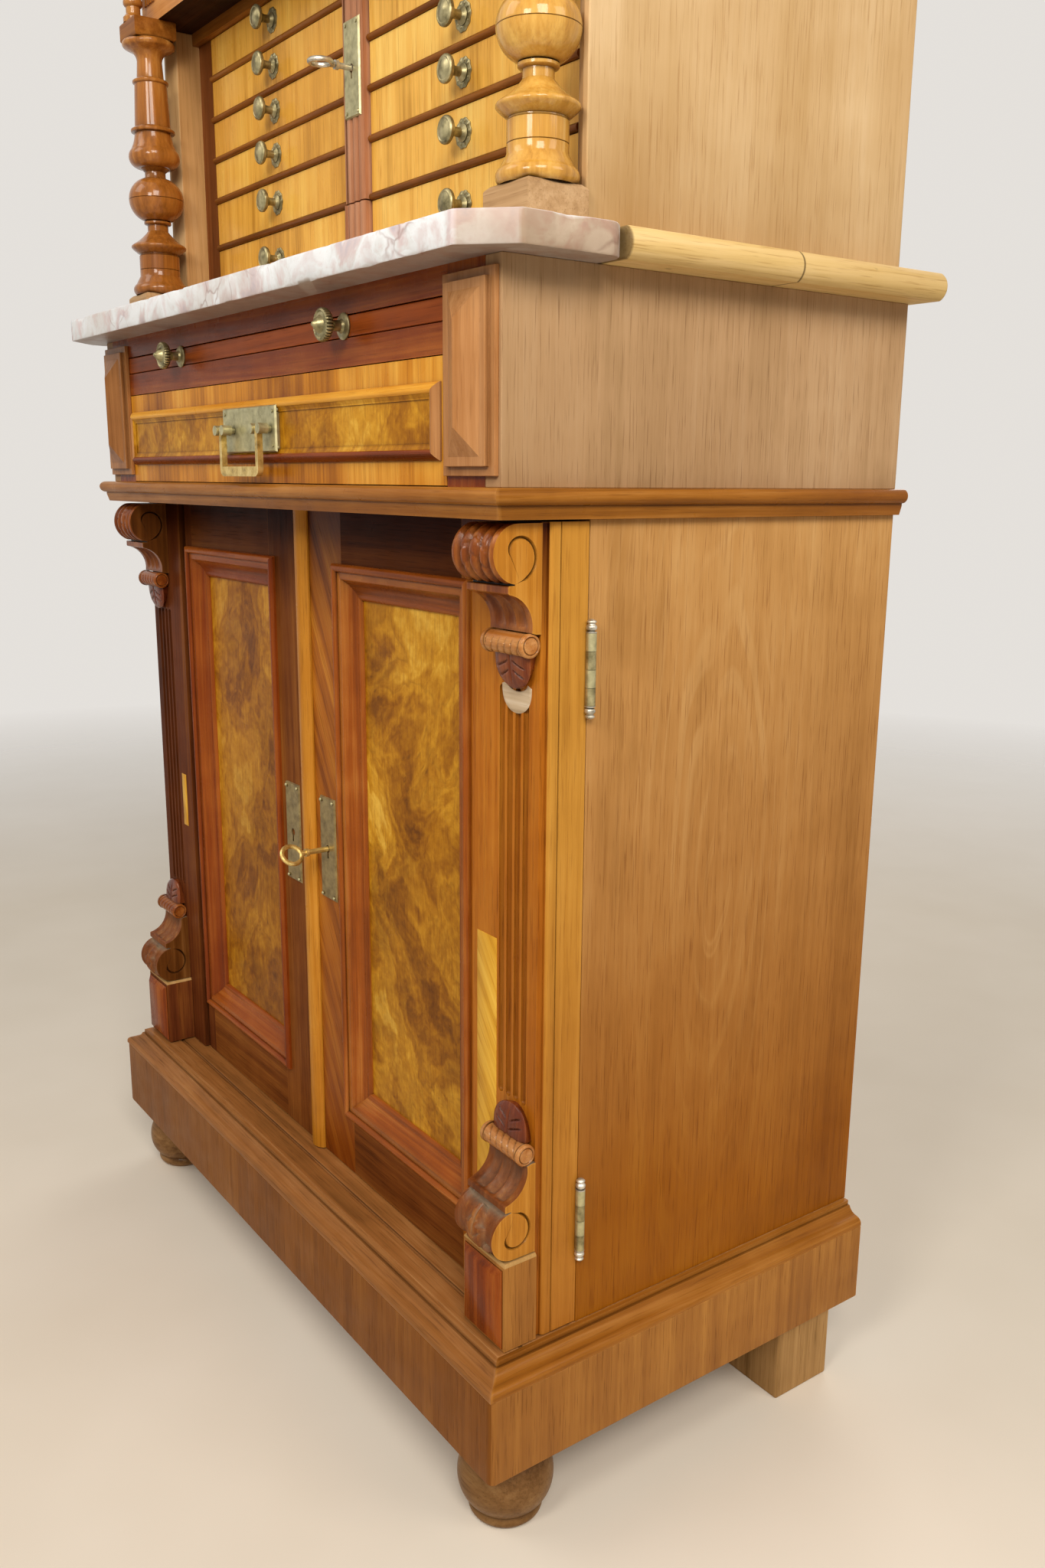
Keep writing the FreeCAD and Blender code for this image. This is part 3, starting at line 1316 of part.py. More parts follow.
# Turned columns with square base blocks and abaci, and slender colonnettes above them.
def swell(name, low, middle, high, count):
    """Points on the round through three (level, offset) places, each offset told from one named radius."""
    places = [FreeCAD.Vector(level, offset, 0) for level, offset in (low, middle, high)]
    points = Part.Arc(*places).discretize(count + 1)
    return [(point.x, "%s + %.3f" % (name, point.y)) for point in points]


def column_profile():
    """The column's outline; levels are shares of a shaft of 238."""
    foot = "column_foot_radius"
    drum = "column_drum_radius"
    neck = "column_neck_radius"
    ball_round = "column_ball_radius"
    rings = swell(foot, (0, -2.5), (5.5, 0), (10, -2.5), 5)
    rings += [(18, drum), (38, drum), (39, drum + " - 0.8"), (40, drum + " + 1"), (44, foot + " - 1.5")]
    rings += [(45.5, foot), (47, foot), (48.5, foot + " - 1.5")]
    rings += swell(neck, (49.5, 14), (55.5, 6), (62, 0), 5)
    rings += [(68, neck), (69, neck + " + 3.2"), (71, neck + " + 3.2")]
    rings += swell(ball_round, (71.5, -15.1), (91.5, 0), (112.3, -16.4), 10)
    rings += [(113.5, neck), (118, neck)]
    rings += swell(ball_round, (121.5, -12.8), (131.5, -2), (139, -5.1), 6)
    rings += swell(drum, (139.5, 2), (146, -0.5), (154, -2), 3)
    rings += [(155, drum + " + 1.6"), (157, drum + " + 1.6"), (159.5, drum + " - 2.4"), (199, drum + " - 4.2")]
    rings += [(200, drum + " - 2.4"), (202, drum + " - 2.4"), (204.5, neck + " + 3"), (220, neck + " + 2")]
    rings += swell(neck, (221, 2.1), (226, 4), (230, 10), 4)
    rings += swell(foot, (231.5, -4), (234.8, -1.5), (238, -4), 4)
    steps = [(radius, "(shaft_high - shaft_low) * %.3f / 238" % level) for level, radius in rings]
    return [("0", "0")] + steps + [("0", "shaft_high - shaft_low")]


def column(side):
    word = "right" if side > 0 else "left"
    x = "%d * column_x" % side
    shaft = place(turned("column_shaft_" + word, column_profile()), x, "column_y", "shaft_low")
    wide = ("%s - column_block / 2" % x, "%s + column_block / 2" % x)
    deep = ("niche_front - fit_gap - column_block", "niche_front - fit_gap")
    shoulder = "shaft_low - column_block_bevel"
    base = board("column_block_" + word, wide, deep, ("top_level", shoulder))
    bevel = doc.addObject("Part::Wedge", "column_block_bevel_" + word)
    bevel.Placement = FreeCAD.Placement(FreeCAD.Vector(), to_front)
    bounds = {
        "Xmin": wide[0], "Xmax": wide[1], "Ymin": shoulder, "Ymax": "shaft_low",
        "Zmin": "-(%s)" % deep[1], "Zmax": "-(%s)" % deep[0],
        "X2min": wide[0] + " + column_block_bevel", "X2max": wide[1] + " - column_block_bevel",
        "Z2min": "column_block_bevel - (%s)" % deep[1], "Z2max": "-(%s) - column_block_bevel" % deep[0],
    }
    for prop, text in bounds.items():
        bevel.setExpression(prop, bind(text))
    half = "abacus_size / 2"
    abacus = board("abacus_" + word, ("%s - %s" % (x, half), "%s + %s" % (x, half)),
                   ("column_y - " + half, "column_y + " + half), ("shaft_high", "niche_ceiling"))
    return [shaft, join("column_base_" + word, [base, bevel]), abacus]


def colonnette(side):
    """A slender turned post from the abacus up to the crown."""
    height = "(case_ceiling - niche_ceiling)"
    thin = "colonnette_radius"
    ring = "colonnette_ring"
    low = [(ring, "0"), (ring, "5"), (thin + " - 1", "8"), (thin + " - 1", "14"), (thin + " + 1.4", "16"),
           (thin + " + 1.4", "20"), (thin, "23")]
    high = [(radius, "%s - %s" % (height, level)) for radius, level in reversed(low)]
    waist = [(thin + " - 1", height + " / 2 - 3"), (thin + " + 1", height + " / 2 - 1"),
             (thin + " + 1", height + " / 2 + 1"), (thin + " - 1", height + " / 2 + 3")]
    body = turned("colonnette_" + ("right" if side > 0 else "left"), [("0", "0")] + low + waist + high + [("0", height)])
    return place(body, "%d * (column_x + colonnette_out)" % side, "column_y - colonnette_forward", "niche_ceiling")


node("turned_columns", column(1) + column(-1) + [colonnette(1), colonnette(-1)])


# Upper case: floor, top, reeded pilasters, shelf and cornice.
def case_pilaster():
    inner = "upper_half - case_pilaster"
    back = case_side_front
    pitch = "(case_pilaster - 2 * case_pilaster_margin) / 4"
    first = inner + " + case_pilaster_margin"
    steps = [(inner, back), (inner, "case_front_face"), (first, "case_front_face")]
    for index in range(4):
        steps.append(("%s + (%d + 0.5) * %s" % (first, index, pitch), "case_front_face - 2",
                      "%s + %d * %s" % (first, index + 1, pitch), "case_front_face"))
    steps += [("upper_half", "case_front_face"), ("upper_half", back)]
    return slab("case_pilaster_right", "XY_Plane", steps, "case_floor_top", "case_ceiling - case_floor_top")


def cornice():
    def spot(out, up):
        return "-upper_half - (%s)" % out, "case_ceiling + (%s)" % up

    def bend(out_middle, up_middle, out, up):
        return spot(out_middle, up_middle) + spot(out, up)

    top = "board + cornice_height"
    profile = [
        spot("0", "2"), spot("3", "2"), spot("3", "10"),
        bend("5.5", "12.5", "3", "15"), spot("3", "24"),
        bend("cornice_projection * 0.33", "36", "cornice_projection * 0.55", "46"),
        bend("cornice_projection * 0.72", "54", "cornice_projection - 4", top + " - 12"),
        spot("cornice_projection", top + " - 12"), spot("cornice_projection", top), spot("0", top),
    ]
    path = [("-upper_half", "case_back"), ("-upper_half", "crown_face"),
            ("upper_half", "crown_face"), ("upper_half", "case_back")]
    run = run_moulding("cornice_run", "XZ_Plane", profile, "-case_back", "XY_Plane", path, "case_ceiling")
    return mitred("cornice", run, "upper_half", "crown_face", "cornice_projection", "case_ceiling",
                  "board + cornice_height")


def upper_case():
    floor = board("case_floor_plank", ("-upper_half", "upper_half"), ("case_front_face", "case_back"),
                  ("niche_ceiling", "case_floor_top"))
    top = board("case_top_plank", ("-upper_half", "upper_half"), ("crown_face", "case_back"),
                ("case_ceiling", "case_top"))
    crown = board("crown_front", ("-upper_half", "upper_half"), ("crown_face", "crown_face + board"),
                  ("case_top", "case_top + cornice_height"))
    ends = board_pair("crown_side", ("upper_inner", "upper_half"), ("crown_face + board", "case_back"),
                      ("case_top", "case_top + cornice_height"))
    shelf = board("case_shelf", ("fit_gap - upper_inner", "upper_inner - fit_gap"),
                  (case_side_front + " + 12", "back_front - fit_gap"),
                  ("case_floor_top + case_shelf_level", "case_floor_top + case_shelf_level + shelf_board"))
    pilaster = case_pilaster()
    return [floor, top, crown, shelf, pilaster, mirrored("case_pilaster_left", pilaster)] + cornice() + ends


node("upper_case", upper_case())


# Small drawers: front, two sides, back, bottom and a turned knob.
def small_drawer(side, index, floor, height):
    word = "%s_%d" % ("right" if side > 0 else "left", index)
    x = ("bay_in + small_drawer_gap", "bay_out - small_drawer_gap")
    low = floor + " + small_drawer_gap"
    high = "%s + %s - small_drawer_gap" % (floor, height)
    behind = "small_front + small_front_board"
    back = "back_front - small_drawer_rear_gap"
    rim = high + " - 4"
    inside = (x[0] + " + small_side_board", x[1] + " - small_side_board")
    front = board("small_front_" + word, sided(side, x), ("small_front", behind), (low, high))
    near = board("small_near_" + word, sided(side, (x[0], inside[0])), (behind, back), (low, rim))
    far = board("small_far_" + word, sided(side, (inside[1], x[1])), (behind, back), (low, rim))
    rear = board("small_rear_" + word, sided(side, inside), (back + " - small_side_board", back),
                 (low + " + small_bottom_board", rim))
    bottom = board("small_bottom_" + word, sided(side, inside), (behind, back), (low, low + " + small_bottom_board"))
    middle = "%d * (%s + %s) / 2" % (side, x[0], x[1])
    handle = knob("small_knob_" + word, "small_knob_radius", "small_knob_reach", "small_knob_neck",
                  (middle, "small_front", "%s + %s / 2" % (floor, height)))
    return [front, near, far, rear, bottom, handle]


for index, (floor, height) in enumerate(rows, start=1):
    node("drawer_left_%d" % index, small_drawer(-1, index, floor, height))
for index, (floor, height) in enumerate(rows, start=1):
    node("drawer_right_%d" % index, small_drawer(1, index, floor, height))


# Locking bar in front of the partition, with its plate and key.
def locking_bar():
    stem = reeded("bar_reeded", "bar_low", "bar_high", True)
    pins = [rod("bar_pin_low", "bar_pin_radius", "bar_gap + bar_pin_length",
                ("bar_axis_x", "bar_axis_y", "bar_low - bar_gap - bar_pin_length + 0.5"), (0, 0, 1)),
            rod("bar_pin_high", "bar_pin_radius", "bar_gap + bar_pin_length",
                ("bar_axis_x", "bar_axis_y", "bar_high - 0.5"), (0, 0, 1))]
    hole = rod("bar_key_way", "key_radius + pin_clearance", "bar_thickness - bar_reed - 2",
               ("bar_key_x", "bar_front - 1", "bar_key_level"), (0, 1, 0))
    return cut("bar_bored", join("bar_pinned", [stem] + pins), [hole])


node("locking_bar", [locking_bar()])


def bar_plate():
    x = ("bar_key_x - bar_plate_width / 2", "bar_key_x + bar_plate_width / 2")
    z = ("bar_low + bar_plate_level", "bar_low + bar_plate_level + bar_plate_height")
    whole = plate("bar_plate", x, "bar_front", "bar_plate_thickness", z, "4")
    slot = key_slot("bar_keyhole", "bar_key_x", "bar_front", "bar_plate_thickness", "bar_key_level", "8")
    return cut("bar_plate_pierced", whole, [slot])


node("bar_lock_plate", [bar_plate()])
node("bar_key", [key("small_key", "bar_key_x", "bar_front", "bar_key_level", "key_reach", "bar_thickness - 5", 90, None)])


# Glazed doors of the upper case.
def glazed_door(side, hinges):
    word = "right" if side > 0 else "left"
    depth = ("case_front_face", "case_front_face + glazed_door_thickness")
    inner = sided(side, ("fit_gap", "fit_gap + glazed_stile"))
    outer = sided(side, ("glazed_out - glazed_stile", "glazed_out"))
    across = sided(side, ("fit_gap + glazed_stile", "glazed_out - glazed_stile"))
    parts = [
        board("glazed_inner_" + word, inner, depth, ("glazed_low", "glazed_high")),
        board("glazed_outer_" + word, outer, depth, ("glazed_low", "glazed_high")),
        board("glazed_top_" + word, across, depth, ("glazed_high - glazed_stile", "glazed_high")),
        board("glazed_bottom_" + word, across, depth, ("glazed_low", "glazed_low + glazed_stile")),
    ]
    if side > 0:
        parts.append(knob("glazed_knob", "small_knob_radius", "small_knob_reach", "small_knob_neck",
                          ("fit_gap + glazed_stile / 2", "case_front_face", "glazed_low + case_inside * 0.42")))
    return parts + hinges


def pane(side):
    word = "right" if side > 0 else "left"
    middle = "case_front_face + glazed_door_thickness / 2"
    return board("pane_" + word, sided(side, ("fit_gap + glazed_stile", "glazed_out - glazed_stile")),
                 (middle, middle + " + pane_thickness"),
                 ("glazed_low + glazed_stile", "glazed_high - glazed_stile"))


case_hinges = glazed_hinges(False)
node("left_glazed_door", glazed_door(-1, left_of(case_hinges)))
node("left_glass", [pane(-1)])
node("right_glazed_door", glazed_door(1, case_hinges))
node("right_glass", [pane(1)])

doc.recompute()

for piece in doc.Objects:
    if "Invalid" in piece.State or "Error" in piece.State:
        raise RuntimeError("not built: " + piece.Name)

os.makedirs("parts", exist_ok=True)
for piece in nodes:
    if piece.Shape.isNull() or not piece.Shape.isValid():
        raise RuntimeError("bad shape: " + piece.Label)
    piece.Shape.exportStep("parts/%s.step" % piece.Label)
    print(piece.Label, len(piece.Shape.Solids), "solids", round(piece.Shape.Volume / 1000.0, 1), "cm3")
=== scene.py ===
import functools
import math
import bmesh
import bpy
import mathutils.noise
from mathutils import Matrix, Vector
from mathutils.geometry import delaunay_2d_cdt


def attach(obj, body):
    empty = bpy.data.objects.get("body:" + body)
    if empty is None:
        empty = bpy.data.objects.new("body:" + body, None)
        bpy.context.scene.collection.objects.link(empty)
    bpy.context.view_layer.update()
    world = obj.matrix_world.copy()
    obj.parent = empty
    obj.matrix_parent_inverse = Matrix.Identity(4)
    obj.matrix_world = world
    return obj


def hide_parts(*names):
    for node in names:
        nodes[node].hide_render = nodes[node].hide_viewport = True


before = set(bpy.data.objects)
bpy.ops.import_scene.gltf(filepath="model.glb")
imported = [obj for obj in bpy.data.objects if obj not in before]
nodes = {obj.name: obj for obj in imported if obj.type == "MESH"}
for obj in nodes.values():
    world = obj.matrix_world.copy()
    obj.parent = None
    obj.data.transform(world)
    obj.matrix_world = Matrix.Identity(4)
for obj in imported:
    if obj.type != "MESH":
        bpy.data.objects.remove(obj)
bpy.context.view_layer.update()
scene = bpy.context.scene
sides = ((-1, "left"), (1, "right"))
print("frame loaded:", len(nodes), "nodes")


def addObject(name, data):
    thing = bpy.data.objects.new(name, data)
    scene.collection.objects.link(thing)
    return thing


cameraSet = {
    "place": (1.0502, -0.6591, 0.7934),
    "turns": (("Z", 54.1), ("X", 76.84), ("Z", 0.46)),  # degrees
    "lens": 29.86, "sensor": 36,  # mm
}


def placeCamera():
    data = bpy.data.cameras.new("camera")
    data.lens, data.sensor_width = cameraSet["lens"], cameraSet["sensor"]
    camera = addObject("camera", data)
    spin = Matrix.Identity(4)
    for axis, angle in cameraSet["turns"]:
        spin = spin @ Matrix.Rotation(math.radians(angle), 4, axis)
    camera.matrix_world = Matrix.Translation(cameraSet["place"]) @ spin
    scene.camera = camera


placeCamera()
scene.view_settings.view_transform = "Standard"


def tint(code):  # sRGB hex to Blender's linear colour
    channels = [int(code[i:i + 2], 16) / 255 for i in (0, 2, 4)]
    return (*[c / 12.92 if c <= 0.04045 else ((c + 0.055) / 1.055) ** 2.4 for c in channels], 1.0)


def wire(tree, node, inputs):  # outputs of other nodes are linked, plain values set
    for key, value in inputs.items():
        if isinstance(value, Output):
            tree.links.new(value.socket, node.inputs[key])
        else:
            node.inputs[key].default_value = value


def addNode(tree, kind, inputs=None, **settings):  # gives back all outputs of the new node
    node = tree.nodes.new("ShaderNode" + kind)
    for key, value in settings.items():
        setattr(node, key, value)
    wire(tree, node, inputs or {})
    return {key: Output(tree, socket) for i, socket in enumerate(node.outputs) for key in (i, socket.name)}


class Output:  # what a node gives; to reckon with it adds nodes
    def __init__(self, tree, socket):
        self.tree, self.socket = tree, socket

    def add(self, kind, inputs, **settings):
        return addNode(self.tree, kind, inputs, **settings)

    def calc(self, operation, other=0.0):
        return self.add("Math", {0: self, 1: other}, operation=operation)[0]

    def __add__(self, other):
        return self.calc("ADD", other)

    def __radd__(self, other):
        return self.add("Math", {0: other, 1: self}, operation="ADD")[0]

    def __sub__(self, other):
        return self.calc("SUBTRACT", other)

    def __mul__(self, other):
        return self.calc("MULTIPLY", other)

    def gap(self, level):
        return (self - level).calc("ABSOLUTE")

    def remap(self, low, high, start=0.0, end=1.0):  # runs from start to end between low and high
        return self.add("MapRange", {0: self, 1: low, 2: high, 3: start, 4: end})[0]

    def ramp(self, stops):
        node = self.tree.nodes.new("ShaderNodeValToRGB")
        wire(self.tree, node, {0: self})
        spots = node.color_ramp.elements
        while len(spots) < len(stops):
            spots.new(0.5)
        for spot, (position, code) in zip(spots, stops):
            spot.position = position
            spot.color = tint(code)
        return Output(self.tree, node.outputs[0])

    def vector(self, operation, other):
        return self.add("VectorMath", {0: self, 1: other}, operation=operation)[0]

    def stretch(self, *scales):
        return self.vector("MULTIPLY", scales)

    def scatter(self, seed):  # each seed looks at another spot of the pattern
        return self.vector("ADD", (seed * 1.37, seed * 2.11, seed * 0.73))

    def turned(self, angle):  # about Y
        return self.add("VectorRotate", {0: self, 3: math.radians(angle)}, rotation_type="Y_AXIS")[0]

    def reach(self):  # distance from the origin
        return self.add("VectorMath", {0: self}, operation="LENGTH")[1]

    def split(self):
        return self.add("SeparateXYZ", {0: self})

    def warp(self, *pushes):  # pushed about by slow noises of a scale and an amount
        place = self
        for scale, amount in pushes:
            slow = self.add("TexNoise", {0: place, 2: scale, 3: 2.0})[1]
            push = slow.vector("SUBTRACT", (0.5, 0.5, 0.5)).stretch(amount, amount, amount)
            place = place.vector("ADD", push)
        return place

    def noise(self, scale, detail=3.0, rough=0.55, swirl=0.0):
        return self.add("TexNoise", {0: self, 2: scale, 3: detail, 4: rough, 8: swirl})[0]

    def patches(self, scale, detail, low, high):  # noise cut to a mask
        return self.noise(scale, detail).remap(low, high)

    def cells(self, scale, feature="F1"):
        return self.add("TexVoronoi", {0: self, 2: scale}, feature=feature)

    def blend(self, share, code, way="MIX"):
        inputs = {0: share, 6: self, 7: tint(code)}
        return self.add("Mix", inputs, data_type="RGBA", blend_type=way)[2]

    def lay(self, mask, weight, code, way="MIX"):  # a tone laid over the colour where the mask is
        return self.blend(mask * weight, code, way)

    def creviceDirtAndShade(self, distance, limits, weight, code):  # dirt and painted shade in the crevices
        return self.lay(crevice(self.tree, distance).remap(*limits), weight, code)


def crevice(tree, distance, inside=False):
    return addNode(tree, "AmbientOcclusion", {1: distance}, samples=6, only_local=True, inside=inside)[1]


def mixLayers(layers):  # noises about a middle grey, each with its weight
    share = 0.5
    for value, weight in layers:
        share = share + (value - 0.5) * weight
    return share


class Finish:  # a new material
    def __init__(self, name):
        self.material = bpy.data.materials.new(name)
        self.material.use_nodes = True
        self.tree = self.material.node_tree
        self.shader = self.tree.nodes["Principled BSDF"]

    def place(self):
        return addNode(self.tree, "TexCoord")["Object"]

    def done(self, inputs, height, bump):  # bump: strength and distance
        strength, distance = bump
        normal = addNode(self.tree, "Bump", {0: strength, 1: distance, 3: height})[0]
        wire(self.tree, self.shader, {**inputs, "Normal": normal})
        return self.material


# woods: dark, middle, light and blush tone, bands per metre across the grain, strength of the bands (figure),
# roughness, coat, pores, grime (dirt with painted shade in the crevices), then what differs from a plain
# board
# the crevice darkening, with its reach and its dust tone set here, is dirt with painted shade
plainWood = dict(slant=0, thread=0.4, cloud=0.4, blotch=0.5, soot=0.012, dust="241006", polish=0.16,
                 shine=0.3, wear=0, fleck=0, eye=None, stainsAndShade=(), seamsAndGapShadow=())
woodColumns = ("tones", "band", "figure", "rough", "coat", "pore", "grimeAndShade")
woods = {
    # the stain of sideWalnut darkens and yellows the board towards the bottom: painted shade below the sheen
    # on its upper part
    "sideWalnut": ("9c703a c2945a d8b27a b4844a", 16, 0.3, 0.4, 0.05, 0.42, 0.3,
                   dict(eye=(0.027, 0.496), stainsAndShade=[(0.3, 0.86, 0.96, "bf920e")], thread=0.26, cloud=0.26)),
    "drawerSide": ("8c6e48 b4926c c6a884 94704a", 18, 0.22, 0.42, 0.04, 0.4, 0.3,
                   dict(thread=0.24, cloud=0.24, blotch=0.7)),
    "upperSide": ("ba9866 d6b88c e8d0aa b2884e", 16, 0.22, 0.4, 0.06, 0.34, 0.2,
                  dict(stainsAndShade=[(0.95, 1.07, 0.6, "cfc2ae")], thread=0.22, cloud=0.34, blotch=0.85)),
    "plinthWalnut": ("5c3412 834f1a 9e682c 744418", 40, 0.3, 0.44, 0.02, 0.4, 0.45,
                     dict(wear=0.3, thread=0.34, cloud=0.26)),
    "mouldWalnut": ("683a10 98601f c08844 8a501a", 60, 0.4, 0.3, 0.1, 0.25, 0.75, dict(wear=0.35, cloud=0.3)),
    # the first stain of doorWalnut and doorSlant, darker towards the top, is painted shade under the waist
    # moulding
    "doorWalnut": ("6a320c aa6216 c8842c 92500f", 30, 0.45, 0.34, 0.03, 0.42, 0.7,
                   dict(stainsAndShade=[(0.78, 0.69, 1.0, "5c3216")], wear=0.25, cloud=0.36)),
    "doorSlant": ("6a320a a86216 c6842a 8a480e", 80, 0.6, 0.34, 0.03, 0.42, 0.6,
                  dict(stainsAndShade=[(0.78, 0.66, 0.9, "5c3216"), (0.16, 0.5, 0.7, "a0581c")], slant=28)),
    "doorStrip": ("94601c bf8836 d4a04a b07628", 26, 0.25, 0.36, 0.06, 0.28, 0.5,
                  dict(stainsAndShade=[(0.15, 0.6, 0.7, "d0a474")], cloud=0.26)),
    "redWalnut": ("40160a 80390f ae6426 6a2a0a", 55, 0.35, 0.26, 0.1, 0.25, 0.8, dict(wear=0.3)),
    "slideWalnut": ("4c1e08 a04e1a c27430 944514", 46, 0.55, 0.34, 0.06, 0.3, 0.5, {}),
    "blockWalnut": ("6e4420 a87444 ca9866 966034", 30, 0.3, 0.32, 0.12, 0.22, 0.6, dict(wear=0.3)),
    "goldVeneer": ("b27c28 e6ac48 f6c862 d09232", 40, 0.4, 0.3, 0.15, 0.42, 0.35, dict(cloud=0.46)),
    "goldTurned": ("7c4c10 c8943f e8be66 b47a26", 24, 0.3, 0.22, 0.55, 0.16, 0.95,
                   dict(wear=0.25, shine=0.5, polish=0.07)),
    "flameVeneer": ("7c4206 d08a24 f4bc50 b87018", 13, 0.75, 0.3, 0.06, 0.25, 0.4, {}),
    "columnBlock": ("806040 b29068 d4b48c a27e56", 60, 0.35, 0.5, 0.0, 0.3, 0.5, {}),
    "nicheWalnut": ("8c5426 ca8c50 e0aa70 b87640", 46, 0.35, 0.36, 0.08, 0.25, 0.45, {}),
    "barWalnut": ("7e4a30 ae7856 cc9c7c a06446", 70, 0.4, 0.32, 0.15, 0.22, 0.7, {}),
    "railWalnut": ("4c2808 824c18 a66c2c 723c10", 60, 0.4, 0.34, 0.1, 0.25, 0.6, {}),
    # the second seam of topWood, at its end against the marble, is a painted shadow in the gap
    "topWood": ("ae8a50 d8ba7c eacf9c c6a266", 22, 0.35, 0.55, 0.0, 0.38, 0.35,
                dict(seamsAndGapShadow=[(0.0556, 0.0012), (-0.1012, 0.0028)], fleck=0.8)),
    "bareWood": ("8c683c b48e56 caa872 a67e48", 30, 0.5, 0.7, 0.0, 0.4, 0.3, {}),
    "footWood": ("4a2c10 84603a a88458 6a4a24", 44, 0.4, 0.42, 0.12, 0.3, 0.9, {}),
    "blockFoot": ("7a5a32 a88252 c09c6a 966f40", 40, 0.4, 0.62, 0.0, 0.34, 0.5, {}),
    "carvedWalnut": ("481c08 7e4014 b87434 6e3010", 70, 0.4, 0.28, 0.2, 0.2, 0.95,
                     dict(wear=0.5, shine=0.45)),
    # the stain of doorRail, darker towards the top, is painted shade under the waist moulding
    "doorRail": ("30120a 74401a 9a602a 582a0c", 30, 0.45, 0.34, 0.0, 0.4, 0.7,
                 dict(wear=0.25, stainsAndShade=[(0.78, 0.69, 1.0, "5c3216")], shine=0.08)),
    "plinthSide": ("744620 9c6830 b8823f 8a5826", 30, 0.3, 0.42, 0.02, 0.4, 0.45,
                   dict(wear=0.3, thread=0.34, cloud=0.26)),
    "astragalWalnut": ("7e480f b67620 d4983c a06418", 30, 0.4, 0.3, 0.12, 0.36, 0.6, dict(wear=0.3)),
    "rollWalnut": ("6e3c14 a8682c d8a468 925220", 60, 0.4, 0.26, 0.25, 0.25, 0.9, dict(wear=0.5, shine=0.4)),
    # doorShade: a darker copy of the door wood, painted shade on the left door; its stain towards the top is
    # painted shade under the waist moulding
    "doorShade": ("2c1208 66341a 8c5424 562a10", 30, 0.45, 0.34, 0.0, 0.4, 0.7,
                  dict(wear=0.25, stainsAndShade=[(0.78, 0.69, 1.0, "5c3216")], shine=0.08)),
    "panelMould": ("4a1c08 964e16 cc883e 7a380e", 55, 0.35, 0.26, 0.16, 0.25, 0.95,
                   dict(wear=0.4, soot=0.018)),
    "ledgeWalnut": ("64401e 986434 bc8a56 86562a", 50, 0.35, 0.34, 0.06, 0.35, 0.8, dict(wear=0.3)),
    # nicheShade: a darker copy of the niche wood, painted shade on the left stile
    "nicheShade": ("4a2410 804820 a87040 6c3818", 46, 0.35, 0.36, 0.05, 0.3, 0.5, {}),
    # soffitWalnut: near black, painted shade on the underside of the upper case
    "soffitWalnut": ("140a05 2a160c 442614 20100a", 40, 0.4, 0.5, 0.0, 0.3, 0.4, {}),
    # goldPaintedShade: a darker copy of goldTurned, painted shade on the left column
    "goldPaintedShade": ("582e0a a6692a d49c50 8c501a", 24, 0.3, 0.22, 0.5, 0.16, 0.95,
                  dict(wear=0.3, shine=0.5, polish=0.07)),
    # cheekPaintedShade: a darker copy of the cheek wood, painted shade on the left carving
    "cheekPaintedShade": ("361a08 623814 8a5c2e 522a0e", 50, 0.45, 0.34, 0.08, 0.28, 0.85, dict(wear=0.4)),
    # paleVeneer: a paler copy of goldVeneer, painted light on the right drawers
    "paleVeneer": ("b8842e ecb654 fad474 d89c3e", 40, 0.4, 0.3, 0.15, 0.42, 0.35, dict(cloud=0.46)),
    # nicheSide: a darker copy of the upper side's wood, painted shade on its inward faces in the niche
    "nicheSide": ("a07846 c69a66 d8b484 b08650", 16, 0.22, 0.4, 0.05, 0.3, 0.5, {}),
    "caseWalnut": ("5e300e 985a1e ba7a32 824814", 30, 0.45, 0.34, 0.05, 0.42, 0.6,
                   dict(wear=0.25, cloud=0.36)),
    "redGloss": ("3a1408 6a2e14 a05a2c 58220e", 60, 0.4, 0.22, 0.3, 0.15, 0.9, dict(wear=0.3, shine=0.5)),
    "cheekWalnut": ("8a5216 b67826 d8a04a a4661c", 50, 0.45, 0.34, 0.1, 0.28, 0.85, dict(wear=0.4)),
    "dustyWalnut": ("48220e 7a421c a26c36 6c3616", 70, 0.4, 0.42, 0.05, 0.2, 0.6, dict(dust="9c9a86")),
    "dustEdge": ("8c6c40 b8925a d4b07c a87e48", 70, 0.3, 0.55, 0.0, 0.2, 0.4, {}),
    "scoopWood": ("9c8468 c8b498 e4d8c4 b49a7a", 120, 0.4, 0.6, 0.0, 0.2, 0.3, {}),
    "patchVeneer": ("b07a1c d49e30 e6b84a c48a26", 90, 0.6, 0.32, 0.1, 0.3, 0.2, dict(slant=35)),
}
grainOrder = {"X": (1, 2, 0), "Y": (2, 0, 1), "Z": (0, 1, 2)}
woodLayers = {  # scale across and along the grain, detail, roughness, scale of the whole
    "fine": (190, 9, 5, 0.66), "cloud": (1, 0.6, 4, 0.6, 9), "ripple": (16, 55, 2), "pore": (760, 26, 2, 0.6),
}
woodSet = {
    "sway": (2.2, 0.05), "broad": 1.6, "ripple": 0.16, "stops": (0.32, 0.5, 0.68), "lines": 0.5,
    "blotch": (3.1, 3, 0.42, 0.72), "flecks": (0.56, 0.7),  # noise scale and detail, limits of the mask
    "holes": 95, "holeSize": (0.14, 0.07), "rare": (30, 2, 0.58, 0.7), "holeTone": "4a3420",
    "stainAndShadeNoise": (5, 2), "stainAndShadeEdge": 0.25, "seam": 0.75, "seamAndShadowTone": "3a2410",
    "arris": 0.0022, "rim": (0.75, 0.4), "rubNoise": (45, 3), "rubAndGlint": 1.6, "dirtAndShade": (0.9, 0.35),
    "dullNoise": (38, 3), "dull": (0.2, 1.0), "gloss": (-0.08, 0.16), "dullPores": 0.3, "deepPores": 0.5,
    "index": 1.2, "bump": (0.16, 0.0006),  # index: waxed rather than lacquered
}
